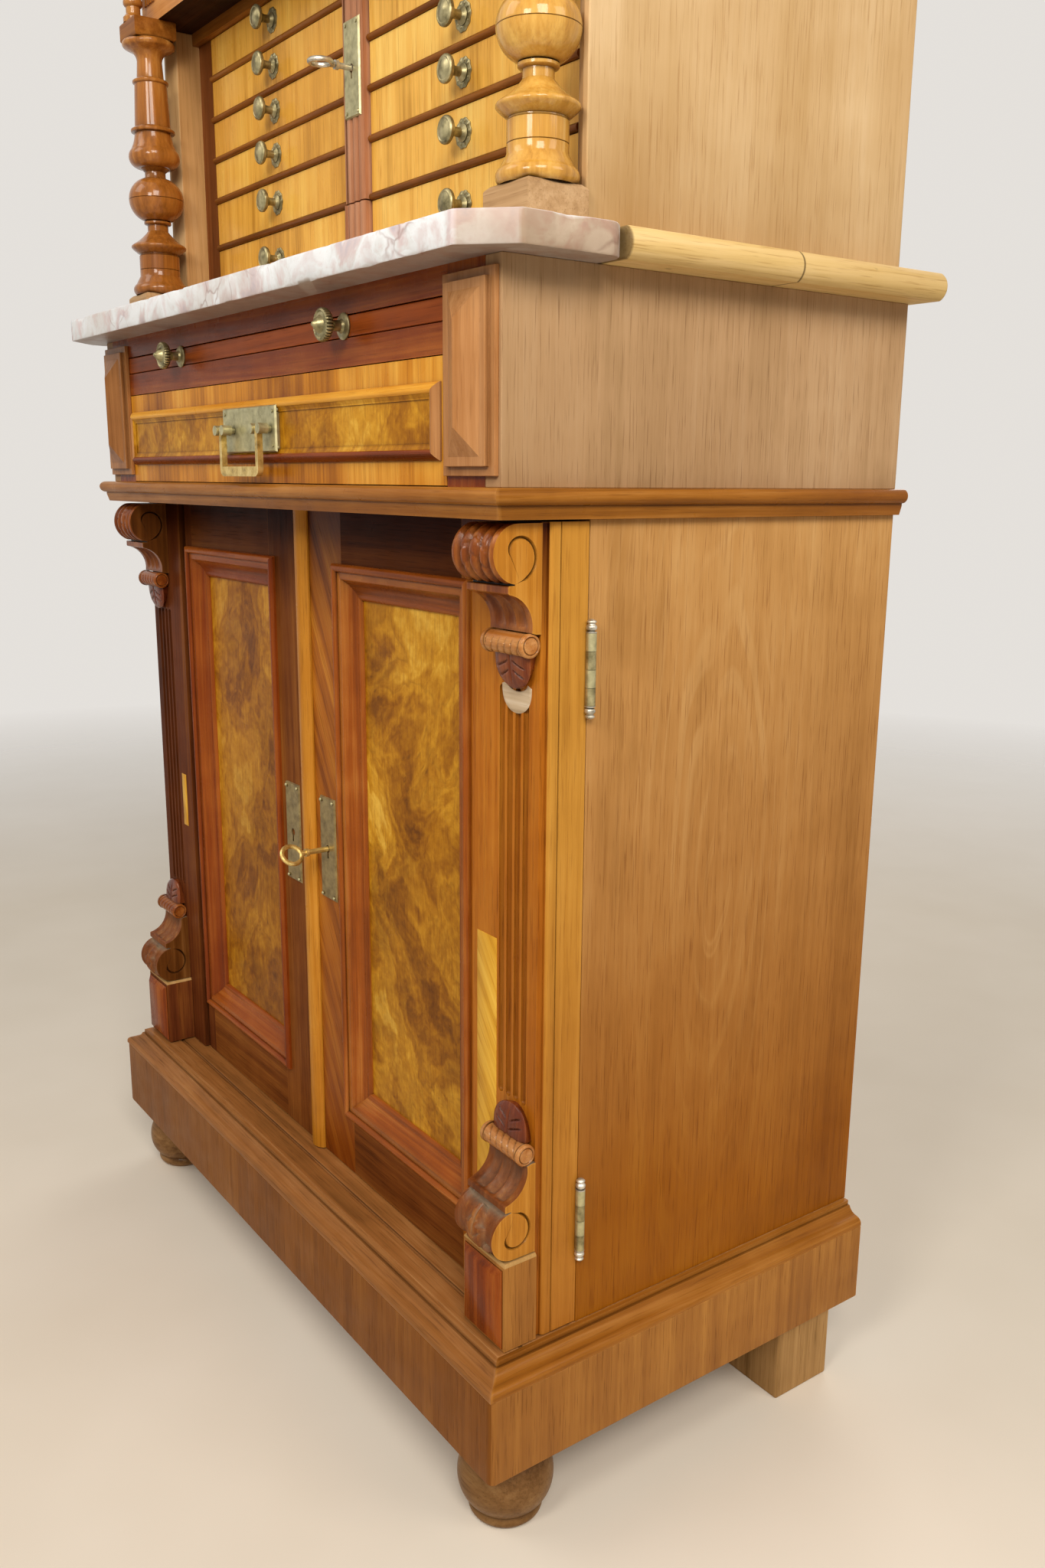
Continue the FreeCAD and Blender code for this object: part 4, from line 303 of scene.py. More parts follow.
eyeSet = {"along": 0.22, "ragged": (14, 0.035), "rings": 85.0, "line": 0.06, "patchy": (26, 2, 0.4, 0.62),
          "reach": (0.15, 0.02)}


def grainPlace(finish, axis, seed, slant):  # turned so that the grain runs along the last coordinate
    place = finish.place().turned(slant) if slant else finish.place()
    parts = place.split()
    order = {i: parts[k] for i, k in enumerate(grainOrder[axis])}
    return addNode(finish.tree, "CombineXYZ", order)[0].scatter(seed)


def cathedral(finish, eye):  # nested ovals round a point of the side board, long along the grain
    parts = finish.place().split()
    along = (parts[2] - eye[1]) * eyeSet["along"]
    oval = addNode(finish.tree, "CombineXYZ", {0: parts[1] - eye[0], 1: along, 2: 0.0})[0]
    radius = oval.warp(eyeSet["ragged"]).reach()
    rings = radius.add("TexNoise", {1: radius, 2: eyeSet["rings"], 3: 1.0}, noise_dimensions="1D")[0]
    line = rings.gap(0.5).remap(eyeSet["line"], 0.0)
    return line * oval.patches(*eyeSet["patchy"]) * radius.remap(*eyeSet["reach"])


def grainNoise(place, across, along, detail, rough=0.55, scale=1):
    return place.stretch(across, across, along).noise(scale, detail, rough)


@functools.cache
def wood(kind, axis="Z", seed=0):
    *columns, special = woods[kind]
    look = {**plainWood, **dict(zip(woodColumns, columns)), **special}
    dark, mid, light, blush = look["tones"].split()
    finish = Finish("%s_%s_%g" % (kind, axis, seed))
    place = grainPlace(finish, axis, seed, look["slant"])
    swayed = place.stretch(1, 1, 0.35).warp(woodSet["sway"])
    broad = grainNoise(swayed, look["band"], woodSet["broad"], 3)
    fine, cloud, ripple = (grainNoise(swayed, *woodLayers[name]) for name in ("fine", "cloud", "ripple"))
    share = mixLayers([(broad, look["figure"]), (fine, look["thread"]), (cloud, look["cloud"]),
                       (ripple, woodSet["ripple"])])
    colour = share.ramp(list(zip(woodSet["stops"], (dark, mid, light))))
    colour = colour.lay(place.patches(*woodSet["blotch"]), look["blotch"], blush)
    if look["eye"]:  # pale nested lines round one spot of a board
        colour = colour.lay(cathedral(finish, look["eye"]), woodSet["lines"], light)
    flecks = grainNoise(place, *woodLayers["pore"]).remap(*woodSet["flecks"])
    colour = colour.lay(flecks, look["pore"], dark, "MULTIPLY")
    if look["fleck"]:  # worm holes and dark specks of a bare board
        holes = place.stretch(1, 1, 0.35).cells(woodSet["holes"])[0].remap(*woodSet["holeSize"])
        colour = colour.lay(holes * place.patches(*woodSet["rare"]), look["fleck"], woodSet["holeTone"])
    for low, high, depth, deep in look["stainsAndShade"]:  # darker towards the low level; on the door woods this is painted shade under the waist moulding
        ragged = place.noise(*woodSet["stainAndShadeNoise"]) * (abs(high - low) * woodSet["stainAndShadeEdge"])
        level = finish.place().split()[2] + ragged
        colour = colour.lay(level.remap(high, low), depth, deep, "MULTIPLY")
    for spot, half in look["seamsAndGapShadow"]:  # dark line across a board: a glued joint, and a painted shadow in the gap by the marble
        away = finish.place().split()[1].gap(spot)
        colour = colour.lay(away.remap(half, half * 0.4), woodSet["seam"], woodSet["seamAndShadowTone"])
    if look["wear"]:  # polish rubbed through on the arrises, with a painted highlight along them
        rim = crevice(finish.tree, woodSet["arris"], True).remap(*woodSet["rim"])
        colour = colour.lay(rim * place.noise(*woodSet["rubNoise"]), look["wear"] * woodSet["rubAndGlint"], light)
    # darker in the crevices: dirt with painted shade
    colour = colour.creviceDirtAndShade(look["soot"], woodSet["dirtAndShade"], look["grimeAndShade"], look["dust"])
    gloss = [look["rough"] + more for more in woodSet["gloss"]]
    dull = place.noise(*woodSet["dullNoise"]) + flecks * woodSet["dullPores"]
    return finish.done({
        "Base Color": colour, "Roughness": dull.remap(*woodSet["dull"], *gloss),
        "Coat Weight": look["coat"], "Coat Roughness": look["polish"],
        "Specular IOR Level": look["shine"], "IOR": woodSet["index"],
    }, fine - flecks * woodSet["deepPores"], woodSet["bump"])


# burl veneer: warped clouds, bright swirls, clustered eyes
# clouds and glows are (x, z, size, depth) on the panel
burls = {
    "rightPanel": dict(seed=3.2, lean=32, shade=0.0, clouds=[
        (0.104, 0.469, 0.010, 1.0), (0.09, 0.639, 0.022, 0.55), (0.15, 0.487, 0.028, 0.45),
        (0.11, 0.428, 0.024, 0.75), (0.15, 0.381, 0.032, 0.5), (0.097, 0.323, 0.04, 0.5),
        (0.21, 0.3, 0.05, 0.35), (0.14, 0.26, 0.03, 0.4)],
        glows=[(0.177, 0.655, 0.034, 0.75), (0.228, 0.621, 0.03, 0.7), (0.11, 0.557, 0.022, 0.5),
               (0.218, 0.533, 0.026, 0.6), (0.097, 0.516, 0.014, 0.5), (0.13, 0.69, 0.03, 0.35),
               (0.2, 0.43, 0.03, 0.25)]),
    "leftPanel": dict(seed=7.9, lean=-28, shade=0.3, clouds=[
        (-0.158, 0.634, 0.028, 0.6), (-0.15, 0.428, 0.036, 0.65), (-0.173, 0.2745, 0.036, 0.6),
        (-0.11, 0.53, 0.03, 0.4)],
        glows=[(-0.2, 0.68, 0.036, 0.4), (-0.13, 0.58, 0.03, 0.35), (-0.2, 0.5, 0.036, 0.35),
               (-0.14, 0.36, 0.03, 0.3)]),
    "drawerField": dict(seed=5.4, lean=8, shade=0.0, clouds=[
        (-0.06, 0.832, 0.012, 0.7), (-0.2, 0.829, 0.016, 0.75), (0.07, 0.838, 0.007, 0.6),
        (-0.14, 0.834, 0.012, 0.6), (-0.25, 0.834, 0.012, 0.5), (0.13, 0.824, 0.006, 0.5)],
        glows=[(0.24, 0.832, 0.034, 0.6), (0.18, 0.834, 0.026, 0.5), (0.11, 0.836, 0.014, 0.4)]),
}
burlLayers = {  # stretch, detail, roughness, swirl
    "clouds": ((10, 10, 8), 4, 0.55, 0.0), "swirl": ((30, 26, 22), 4, 0.55, 0.5),
    "feather": ((62, 58, 50), 5, 0.6, 2.2),
}
burlSet = {
    "bend": ((3.4, 0.16), (14, 0.05)), "shake": ((15, 0.08), (60, 0.014)), "mottle": (170, 5, 0.7),
    "fibreBend": (9, 0.02), "fibreStretch": (420, 200, 40), "patchNoise": (46, 6, 0.72),
    "glossNoise": (30, 3),
    "stops": ((0.3, "683a06"), (0.41, "925a0a"), (0.5, "b07614"), (0.6, "ca9224"), (0.74, "e6b84a")),
    "weights": (0.62, 0.3, 0.2, 0.2),  # clouds, swirl, feather, mottle
    "bands": (62, 11, 0.035), "glow": 0.13,  # contour lines of clouds and swirl, and how strong
    "fibre": (0.46, 0.7), "fibreTone": (0.3, "8e5a14"), "ray": (0.47, 0.012), "rayTone": (0.5, "6e420c"),
    "eyes": 130, "eyeSize": (0.32, 0.08), "cluster": (11, 2, 0.52, 0.66), "eyeTone": (0.5, "55300a"),
    "patchy": (0.36, 0.6, 0.05, 0.9), "cloudTone": (0.8, "562f06"), "shadeTone": "b8843c",
    "dirtAndShade": (0.012, (0.95, 0.5), 0.5, "2c1606"), "gloss": (0.2, 0.8, 0.24, 0.4), "bump": (0.05, 0.0004),
    "coat": 0.04, "polish": 0.14, "shine": 0.3,
}


def blobs(place, spots):  # soft mask over a few places of the panel's face
    whole = None
    for x, z, size, depth in spots:
        far = place.vector("SUBTRACT", (x, 0, z)).stretch(1, 0, 0.7).reach()
        mask = far.remap(size * 2.2, size * 0.15) * depth
        whole = mask if whole is None else whole.calc("MAXIMUM", mask)
    return whole


@functools.cache
def burl(kind):
    look = burls[kind]
    finish = Finish(kind)
    plain = finish.place()
    bent = finish.place().scatter(look["seed"]).turned(look["lean"]).warp(*burlSet["bend"])
    shaken = plain.warp(*burlSet["shake"])
    clouds, swirl, feather = (bent.stretch(*scales).noise(1, *rest) for scales, *rest in burlLayers.values())
    mottle = plain.noise(*burlSet["mottle"])
    fibres = plain.warp(burlSet["fibreBend"]).stretch(*burlSet["fibreStretch"]).noise(1, 3, 0.6)
    share = mixLayers(zip((clouds, swirl, feather, mottle), burlSet["weights"]))
    cloudLines, swirlLines, strength = burlSet["bands"]
    share = share + (clouds * cloudLines + swirl * swirlLines).calc("SINE") * strength
    share = share + blobs(shaken, look["glows"]) * burlSet["glow"]
    colour = share.ramp(burlSet["stops"])
    colour = colour.lay(fibres.remap(*burlSet["fibre"]), *burlSet["fibreTone"], "MULTIPLY")
    level, half = burlSet["ray"]
    colour = colour.lay(clouds.gap(level).remap(half, 0.0) * swirl, *burlSet["rayTone"])
    eyes = bent.cells(burlSet["eyes"])[0].remap(*burlSet["eyeSize"]) * plain.patches(*burlSet["cluster"])
    colour = colour.lay(eyes, *burlSet["eyeTone"])
    patchy = bent.noise(*burlSet["patchNoise"]).remap(*burlSet["patchy"])
    colour = colour.lay(blobs(shaken, look["clouds"]) * patchy, *burlSet["cloudTone"])
    # painted shade over the whole panel, set for the left door
    if look["shade"]:
        colour = colour.blend(look["shade"], burlSet["shadeTone"], "MULTIPLY")
    # the burl's base colour is darker in the crevices: dirt with painted shade
    return finish.done({
        "Base Color": colour.creviceDirtAndShade(*burlSet["dirtAndShade"]), "Coat Weight": burlSet["coat"],
        "Roughness": plain.noise(*burlSet["glossNoise"]).remap(*burlSet["gloss"]),
        "Coat Roughness": burlSet["polish"], "Specular IOR Level": burlSet["shine"], "IOR": woodSet["index"],
    }, fibres + eyes, burlSet["bump"])


# breccia marble: lumps, pale pebbles, veins between them; a tone stands with its weight
marbleSet = {
    "seed": 1.3, "bend": ((12, 0.06), (55, 0.012)), "lumps": (26, 4, 0.6),
    "stops": ((0.32, "c0b8c2"), (0.42, "d8c9cb"), (0.5, "e4e8ec"), (0.56, "eef4fa"), (0.72, "d8c9cb")),
    "brown": (7, 2, 0.52, 0.66), "brownTone": (0.5, "c6bab0"),
    "pebbles": 34, "chosen": (0.6, 0.66), "pebbleSize": (0.42, 0.34), "pebbleTone": (0.85, "eef4fa"),
    "veins": 30, "veinWidth": 0.035, "veinWhere": (15, 3, 0.5, 0.62), "veinTone": (0.55, "8a5c54"),
    "gritNoise": (420, 3, 0.7), "grit": (0.58, 0.7), "gritTone": (0.25, "c6bab0"),
    "end": (0.4, 0.9), "endTone": (0.8, "b89468"),  # by the way a face looks
    "under": (-0.2, -0.9), "underTone": (0.75, "7d5c3a"),
    "glossNoise": (120, 3), "gloss": (0.2, 0.8, 0.32, 0.55), "pitNoise": (260, 4), "bump": (0.14, 0.0006),
}


def marble():
    finish = Finish("marble")
    place = finish.place().scatter(marbleSet["seed"])
    bent = place.warp(*marbleSet["bend"])
    colour = bent.noise(*marbleSet["lumps"]).ramp(marbleSet["stops"])
    colour = colour.lay(place.patches(*marbleSet["brown"]), *marbleSet["brownTone"])
    pebbles = bent.cells(marbleSet["pebbles"])
    chosen = addNode(finish.tree, "SeparateColor", {0: pebbles[1]})[0].remap(*marbleSet["chosen"])
    colour = colour.lay(pebbles[0].remap(*marbleSet["pebbleSize"]) * chosen, *marbleSet["pebbleTone"])
    edge = bent.cells(marbleSet["veins"], "DISTANCE_TO_EDGE")[0].remap(marbleSet["veinWidth"], 0.0)
    vein = edge * place.patches(*marbleSet["veinWhere"])
    colour = colour.lay(vein, *marbleSet["veinTone"])
    grit = place.noise(*marbleSet["gritNoise"]).remap(*marbleSet["grit"])
    colour = colour.lay(grit, *marbleSet["gritTone"])
    facing = addNode(finish.tree, "NewGeometry")["Normal"].split()
    colour = colour.lay(facing[0].remap(*marbleSet["end"]), *marbleSet["endTone"], "MULTIPLY")
    colour = colour.lay(facing[2].remap(*marbleSet["under"]), *marbleSet["underTone"])
    gloss = place.noise(*marbleSet["glossNoise"]).remap(*marbleSet["gloss"])
    pits = place.noise(*marbleSet["pitNoise"]) - vein
    return finish.done({"Base Color": colour, "Roughness": gloss}, pits, marbleSet["bump"])


metals = {  # dull, middle and bright tone, roughness, grime
    "oldBrass": ("565036 8e8560 b8ae84", 0.34, 0.9),
    "escutcheonBrass": ("6e5e3a 8a7850 a08e60", 0.36, 0.9),
    "plateBrass": ("8c8662 aca680 c2bc92", 0.42, 0.8),
    "keyBrass": ("86703c c8aa62 e6cc84", 0.34, 0.6),
    "finialNickel": ("7c7766 c0bbac e2ddd0", 0.32, 0.7),
    "lockSteel": ("4a4440 7d7872 a29d96", 0.45, 0.6),
}
metalSet = {
    "seed": 2.7, "patina": (130, 4, 0.6), "stops": (0.26, 0.46, 0.66), "crevice": 0.004, "dirtAndShade": (0.85, 0.3),
    "grimeAndShade": "1e180c", "metallic": 0.78, "glossNoise": (90, 4), "dull": (0.25, 0.8), "gloss": (-0.08, 0.2),
    "pits": (900, 3), "bump": (0.1, 0.0003),
}


@functools.cache
def metal(kind):
    tones, rough, grimeAndShade = metals[kind]
    finish = Finish(kind)
    place = finish.place().scatter(metalSet["seed"])
    colour = place.noise(*metalSet["patina"]).ramp(list(zip(metalSet["stops"], tones.split())))
    colour = colour.creviceDirtAndShade(metalSet["crevice"], metalSet["dirtAndShade"], grimeAndShade, metalSet["grimeAndShade"])
    gloss = [rough + more for more in metalSet["gloss"]]
    gloss = place.noise(*metalSet["glossNoise"]).remap(*metalSet["dull"], *gloss)
    return finish.done({"Base Color": colour, "Metallic": metalSet["metallic"], "Roughness": gloss},
                       place.noise(*metalSet["pits"]), metalSet["bump"])


glassSet = {"tint": "eef5f1", "index": 1.45, "dustNoise": (55, 4), "dust": (0.4, 0.8, 0.01, 0.07),
            "wave": (9, 9, 5), "bump": (0.12, 0.002)}


@functools.cache
def paneGlass():
    finish = Finish("paneGlass")
    place = finish.place().scatter(0.0)
    dust = place.noise(*glassSet["dustNoise"]).remap(*glassSet["dust"])
    return finish.done({
        "Base Color": tint(glassSet["tint"]), "Transmission Weight": 1.0, "IOR": glassSet["index"],
        "Roughness": dust,
    }, place.stretch(*glassSet["wave"]).noise(1, 2), glassSet["bump"])


print("finishes ready")


def finishOf(name):  # "kind axis seed" for a wood, the bare kind for all else
    kind, *grain = name.split()
    if grain:
        return wood(kind, grain[0], int(grain[1]))
    return burl(kind) if kind in burls else metal(kind) if kind in metals else paneGlass()


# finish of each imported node
# where it has several, each has its limits in metres, and the first that holds counts
mitres = {"ledge": (0.36, -0.178), "cornice": (0.349, -0.1494)}  # front corner of a moulding
panelSet = {"x": 0.162, "z": 0.4705, "halfWide": 0.104, "halfHigh": 0.2535}
veneers = {"left": ("goldVeneer", 10), "right": ("paleVeneer", 20)}  # kind, seed below the first row; the right drawers take a paler copy, painted light
endless = 9.0  # stands for no limit
beyond, onRight = (0, endless), dict(x=(0, endless))
raised = (-endless, -0.1781)  # in front of the drawer's face
hingeLeaves = ((0.2236, 0.2774), (0.6411, 0.6949), (1.2962, 1.345), (1.593, 1.6418))
dressing = {
    "front_bun_feet": "footWood X 1", "rear_block_feet": "blockFoot Z 1", "base_floor": "ledgeWalnut X 3",
    "plinth_moulding": [("mouldWalnut Y 1", dict(ledge=beyond, **onRight)),
                        ("mouldWalnut Y 2", dict(ledge=beyond)), "ledgeWalnut X 1"],
    "base_sides": [("drawerSide Z 2", dict(z=(0.788, endless))), "sideWalnut Z 1"],
    "back_panels": "bareWood Z 2", "cupboard_shelf": "bareWood X 3", "drawer_deck": "mouldWalnut X 5",
    "waist_moulding": [("mouldWalnut Y 1", dict(ledge=beyond, **onRight)),
                       ("mouldWalnut Y 2", dict(ledge=beyond)), "mouldWalnut X 1"],
    "front_frame": [("redWalnut Z 4", dict(side=(0.2976, endless))), "redWalnut X 4"],
    "corner_blocks": "blockWalnut Z 1", "wooden_top": "topWood Y 1",
    "carcass_hinge_leaves": [("oldBrass", dict(z=level)) for level in hingeLeaves] + ["finialNickel"],
    "left_door_moulding": [("redWalnut X 2", dict(panel=beyond)), "redWalnut Z 2"],
    "right_door_moulding": [("panelMould X 1", dict(panel=beyond)), "panelMould Z 1"],
    "door_astragal": "astragalWalnut Z 6", "door_lock": "lockSteel", "lock_bolt": "lockSteel",
    "door_key": "keyBrass", "large_drawer_box": "bareWood Y 5",
    "large_drawer_front": [("drawerField", dict(side=(-endless, 0.2834), y=raised, z=(0.8128, 0.8492))),
                           ("blockWalnut Z 3", dict(side=(0.2834, endless), y=raised)),  # moulding: tan ends,
                           ("flameVeneer X 4", dict(y=raised, z=(0.831, endless))),      # golden top run,
                           # the dark lower run of the moulding is painted shadow
                           ("redWalnut X 3", dict(y=raised)), "flameVeneer Z 3"],    # dark lower run
    "drawer_pull_plate": "plateBrass", "drawer_bail": "keyBrass", "pull_out_slide": "slideWalnut X 1",
    # the inward faces of the upper sides: painted shade in the niche
    "upper_sides": [("nicheSide Z 1", dict(inward=(0.5, endless), z=(0, 1.2315))), "upperSide Z 1"],
    "drawer_case": [("nicheWalnut Z 3", dict(side=(0.3012, endless), z=(0.972, 1.2195), **onRight)),
                    # the left stile in the darker copy: painted shade
                    ("nicheShade Z 3", dict(side=(0.3012, endless), z=(0.972, 1.2195))),
                    ("barWalnut Z 2", dict(side=(-endless, 0.0195), z=(0.972, 1.2195))), "railWalnut X 3"],
    "locking_bar": "barWalnut Z 1", "bar_lock_plate": "plateBrass", "bar_key": "finialNickel",
    # the underside of the upper case: painted shade
    "upper_case": [("soffitWalnut X 5", dict(up=(-endless, -0.5), z=(0, 1.232))),
                   ("bareWood X 5", dict(up=(0.9, endless), z=(1.69, 1.73))),
                   ("mouldWalnut Y 1", dict(cornice=beyond, z=(1.6891, endless), **onRight)),
                   ("mouldWalnut Y 2", dict(cornice=beyond, z=(1.6891, endless))),
                   ("mouldWalnut X 1", dict(z=(1.6891, endless))),
                   ("caseWalnut Z 5", dict(side=(0.3045, endless), y=(-endless, -0.1025),
                                           z=(1.2495, endless))),
                   "nicheWalnut X 5"],
}
doorWoods = {  # edge strip, outer stile, inner stile left of the middle, rails; the left door's outer stile is a darker copy, painted shade
    "left": ("doorStrip Z 2", "doorShade Z 2", "doorRail Z 2", "doorRail X 2"),
    "right": ("doorStrip Z 1", "doorWalnut Z 1", "doorSlant Z 1", "doorRail X 1"),
}
for side, word in sides:
    strip, outer, inner, rails = doorWoods[word]
    dressing.update({
        word + "_door_frame": [
            (strip, dict(side=(0.3585, endless))), (strip, dict(side=(0.355, endless), y=(-0.1376, endless))),
            (outer, dict(side=(0.254, endless))), ("doorSlant Z 1", dict(side=(-endless, 0.07), **onRight)),
            (inner, dict(side=(-endless, 0.07))), rails],
        word + "_door_panel": word + "Panel", word + "_hinge_leaves": "plateBrass",
        word + "_escutcheon": "escutcheonBrass", word + "_glass": "paneGlass",
        word + "_glazed_door": [("oldBrass", dict(y=(-endless, -0.1251))),
                                ("caseWalnut X 6", dict(side=(0.0405, 0.2645))), "caseWalnut Z 6"],
    })
    kind, first = veneers[word]
    for row in range(1, 7):
        front = "%s Z %d" % (kind, first + row)
        dressing["drawer_%s_%d" % (word, row)] = [("oldBrass", dict(y=(-endless, -0.0741))),
                                                  (front, dict(y=(-endless, -0.0735))), "bareWood Y 4"]


def measure(face):  # what the limits speak of
    x, y, z = face.center
    seen = {"x": x, "side": abs(x), "y": y, "z": z, "up": face.normal.z,
            "inward": -face.normal.x if x > 0 else face.normal.x}
    for name, (half, front) in mitres.items():
        seen[name] = abs(x) - half - (front - y)
    seen["panel"] = (abs(z - panelSet["z"]) - panelSet["halfHigh"]
                     - (abs(abs(x) - panelSet["x"]) - panelSet["halfWide"]))
    return seen


def dress(name, entry):
    *rules, rest = [entry] if isinstance(entry, str) else entry
    mesh = nodes[name].data
    used, picks = [], []
    for face in mesh.polygons:
        seen = measure(face)
        fits = (choice for choice, limits in rules
                if all(low < seen[key] < high for key, (low, high) in limits.items()))
        choice = next(fits, rest)
        if choice not in used:
            used.append(choice)
        picks.append(used.index(choice))
    mesh.materials.clear()
    for choice in used:
        mesh.materials.append(finishOf(choice))
    mesh.polygons.foreach_set("material_index", picks)


softSet = {"weld": 0.00002, "flat": 0.4, "segments": 2, "corner": 38}  # angles in degrees
arrises = {"base_sides": 0.0009, "wooden_top": 0.0018, "upper_sides": 0.0012, "corner_blocks": 0.0005,
           "rear_block_feet": 0.002, "pull_out_slide": 0.001, "base_floor": 0.0012}


def soften(name, width):  # worn arrises on a packed board
    piece = nodes[name]
    weld = piece.modifiers.new("weld", "WELD")
    weld.merge_threshold = softSet["weld"]
    flats = piece.modifiers.new("flats", "DECIMATE")
    flats.decimate_type = "DISSOLVE"
    flats.angle_limit = math.radians(softSet["flat"])
    flats.delimit = {"MATERIAL"}
    arris = piece.modifiers.new("arris", "BEVEL")
    arris.width = width
    arris.segments = softSet["segments"]
    arris.limit_method = "ANGLE"
    arris.angle_limit = math.radians(softSet["corner"])
    arris.harden_normals = True


for name, entry in dressing.items():
    dress(name, entry)
for name, width in arrises.items():
    soften(name, width)
print("nodes dressed")


meshSet = {"merge": 0.000004, "sliver": 0.000002}  # metres


class Shape:  # own mesh, measured in millimetres
    def __init__(self):
        self.points = []
        self.faces = []
        self.picks = []

    def loft(self, rows, pick=0, ring=False, closed=False):  # ring joins the row ends, closed the rows
        start = len(self.points)
        wide = len(rows[0])
        for row in rows:
            self.points.extend(row)
        for i in range(len(rows) if closed else len(rows) - 1):
            after = (i + 1) % len(rows)
            for k in range(wide if ring else wide - 1):
                beside = (k + 1) % wide
                self.faces.append((start + i * wide + k, start + i * wide + beside,
                                   start + after * wide + beside, start + after * wide + k))
                self.picks.append(pick)

    def cap(self, points, pick=0):
        start = len(self.points)
        self.points.extend(points)
        self.faces.append(tuple(range(start, start + len(points))))
        self.picks.append(pick)

    def shell(self, rings, pick=0, ends=None):  # rings with both ends shut
        self.loft(rings, pick, ring=True)
        for ring in (rings[0], rings[-1]):
            self.cap(ring, pick if ends is None else ends)

    def turn(self, profile, steps, place, pick=0, cut=None):  # profile of (radius, along)
        rings = []
        for radius, along in profile:
            ring = []
            for k in range(steps):
                angle = 2 * math.pi * k / steps
                size = radius + (cut(k, along) if cut else 0.0)
                ring.append(place(size * math.cos(angle), size * math.sin(angle), along))
            rings.append(ring)
        self.shell(rings, pick)

    def finish(self, name, materials, sharp=38):
        mesh = bpy.data.meshes.new(name)
        mesh.from_pydata([tuple(v / 1000 for v in p) for p in self.points], [], self.faces)
        mesh.polygons.foreach_set("material_index", self.picks)
        tidy = bmesh.new()
        tidy.from_mesh(mesh)
        bmesh.ops.remove_doubles(tidy, verts=tidy.verts, dist=meshSet["merge"])
        bmesh.ops.dissolve_degenerate(tidy, edges=tidy.edges, dist=meshSet["sliver"])
        bmesh.ops.recalc_face_normals(tidy, faces=tidy.faces)
        tidy.to_mesh(mesh)
        tidy.free()
        for material in materials:
            mesh.materials.append(material)
        mesh.shade_smooth()
        mesh.set_sharp_from_angle(angle=math.radians(sharp))
        return addObject(name, mesh)


def settle(piece, body, node=None):  # what a piece stands for and what it rides on
    if node:
        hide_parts(node)
    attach(piece, body)


def squareRing(x0, y0, x1, y1, inset, place):  # rectangle drawn in by the inset
    x0, y0, x1, y1 = x0 + inset, y0 + inset, x1 - inset, y1 - inset
    return [place(x0, y0), place(x1, y0), place(x1, y1), place(x0, y1)]


def through(first, middle, last, count):  # points on the round through three places
    (ax, ay), (bx, by), (cx, cy) = first, middle, last
    a, b, c = ax * ax + ay * ay, bx * bx + by * by, cx * cx + cy * cy
    d = 2 * (ax * (by - cy) + bx * (cy - ay) + cx * (ay - by))
    ux = (a * (by - cy) + b * (cy - ay) + c * (ay - by)) / d
    uy = (a * (cx - bx) + b * (ax - cx) + c * (bx - ax)) / d
    radius = math.hypot(ax - ux, ay - uy)
    start, mid, end = (math.atan2(y - uy, x - ux) for x, y in (first, middle, last))
    span = (end - start) % (2 * math.pi)
    if (mid - start) % (2 * math.pi) > span:
        span -= 2 * math.pi
    angles = [start + span * i / count for i in range(count + 1)]
    return [(ux + radius * math.cos(angle), uy + radius * math.sin(angle)) for angle in angles]


def smooth(value, low, high):
    share = min(1.0, max(0.0, (value - low) / (high - low)))
    return share * share * (3 - 2 * share)


def notch(value, centre, half):  # 1 at the centre of a V cut, 0 at its sides
    return max(0.0, 1 - abs(value - centre) / half)


def notches(value, centres, half):
    return max(notch(value, centre, half) for centre in centres)


# carved corbels on the doors: out from the pilaster's face, drop below the level they start from
corbel = {
    "centre": 333.5, "half": 24.5, "face": 143.5, "upper": 766.6, "lower": 234.4, "columns": 48,
    "scroll": (19.6, 20.0, 19.4), "headTurn": (-90, 174), "headSteps": 46, "ledge": 27.0,
    "hollow": ((25.0, 46.2), (11.5, 55.0), (7.5, 72.0)), "hollowSteps": 26,
    "spiral": dict(steps=64, turn=(6, 284), reach=18.2, pitch=7.8, width=(0.25, 1.0), depth=1.9),
    "roll": (8.3, 80.5, 8.3), "rollSteps": 56, "nick": dict(pitch=7.5, half=0.16, depth=1.3),
    "leaf": dict(low=88.0, high=112.0, half=20.8, rise=9.4, steps=40, vein=1.6, rib=0.9),
}
reedSet = {"cuts": (-0.66, -0.24, 0.24, 0.66), "half": 0.12, "depth": 2.9, "sway": 0.05, "swell": 0.9,
           "barbs": (0.3, 0.52), "barbHalf": 0.035, "barbDepth": 1.1, "barbReach": 0.62}
acanthusSet = {"lobes": 3.4, "half": 0.86, "ground": 3.2, "rise": 4.2, "vein": 1.7,
               "veins": (0.02, 0.2, 0.42, 0.62)}
fluteSet = {"centres": (-0.5, 0.0, 0.5), "half": 0.215, "depth": 2.7, "tail": (0.66, 0.24)}


def reeds(u, t):  # front of the upper scroll: five reeds, the middle ones cut to a leaf
    look = reedSet
    fade = smooth(t, 0.02, 0.14) * smooth(t, 1.0, 0.9)
    sway = look["sway"] * math.sin(t * math.pi * 1.4) * (1 if u > 0 else -1)
    cut = notches(u, [centre + sway for centre in look["cuts"]], look["half"])
    barb = 0
    if abs(u) < look["barbReach"]:
        barb = notches(t, [start + 0.3 * abs(u) for start in look["barbs"]], look["barbHalf"])
    swell = look["swell"] * math.cos(u * math.pi * 2.3) ** 2
    return fade * (swell - look["depth"] * cut - look["barbDepth"] * barb)


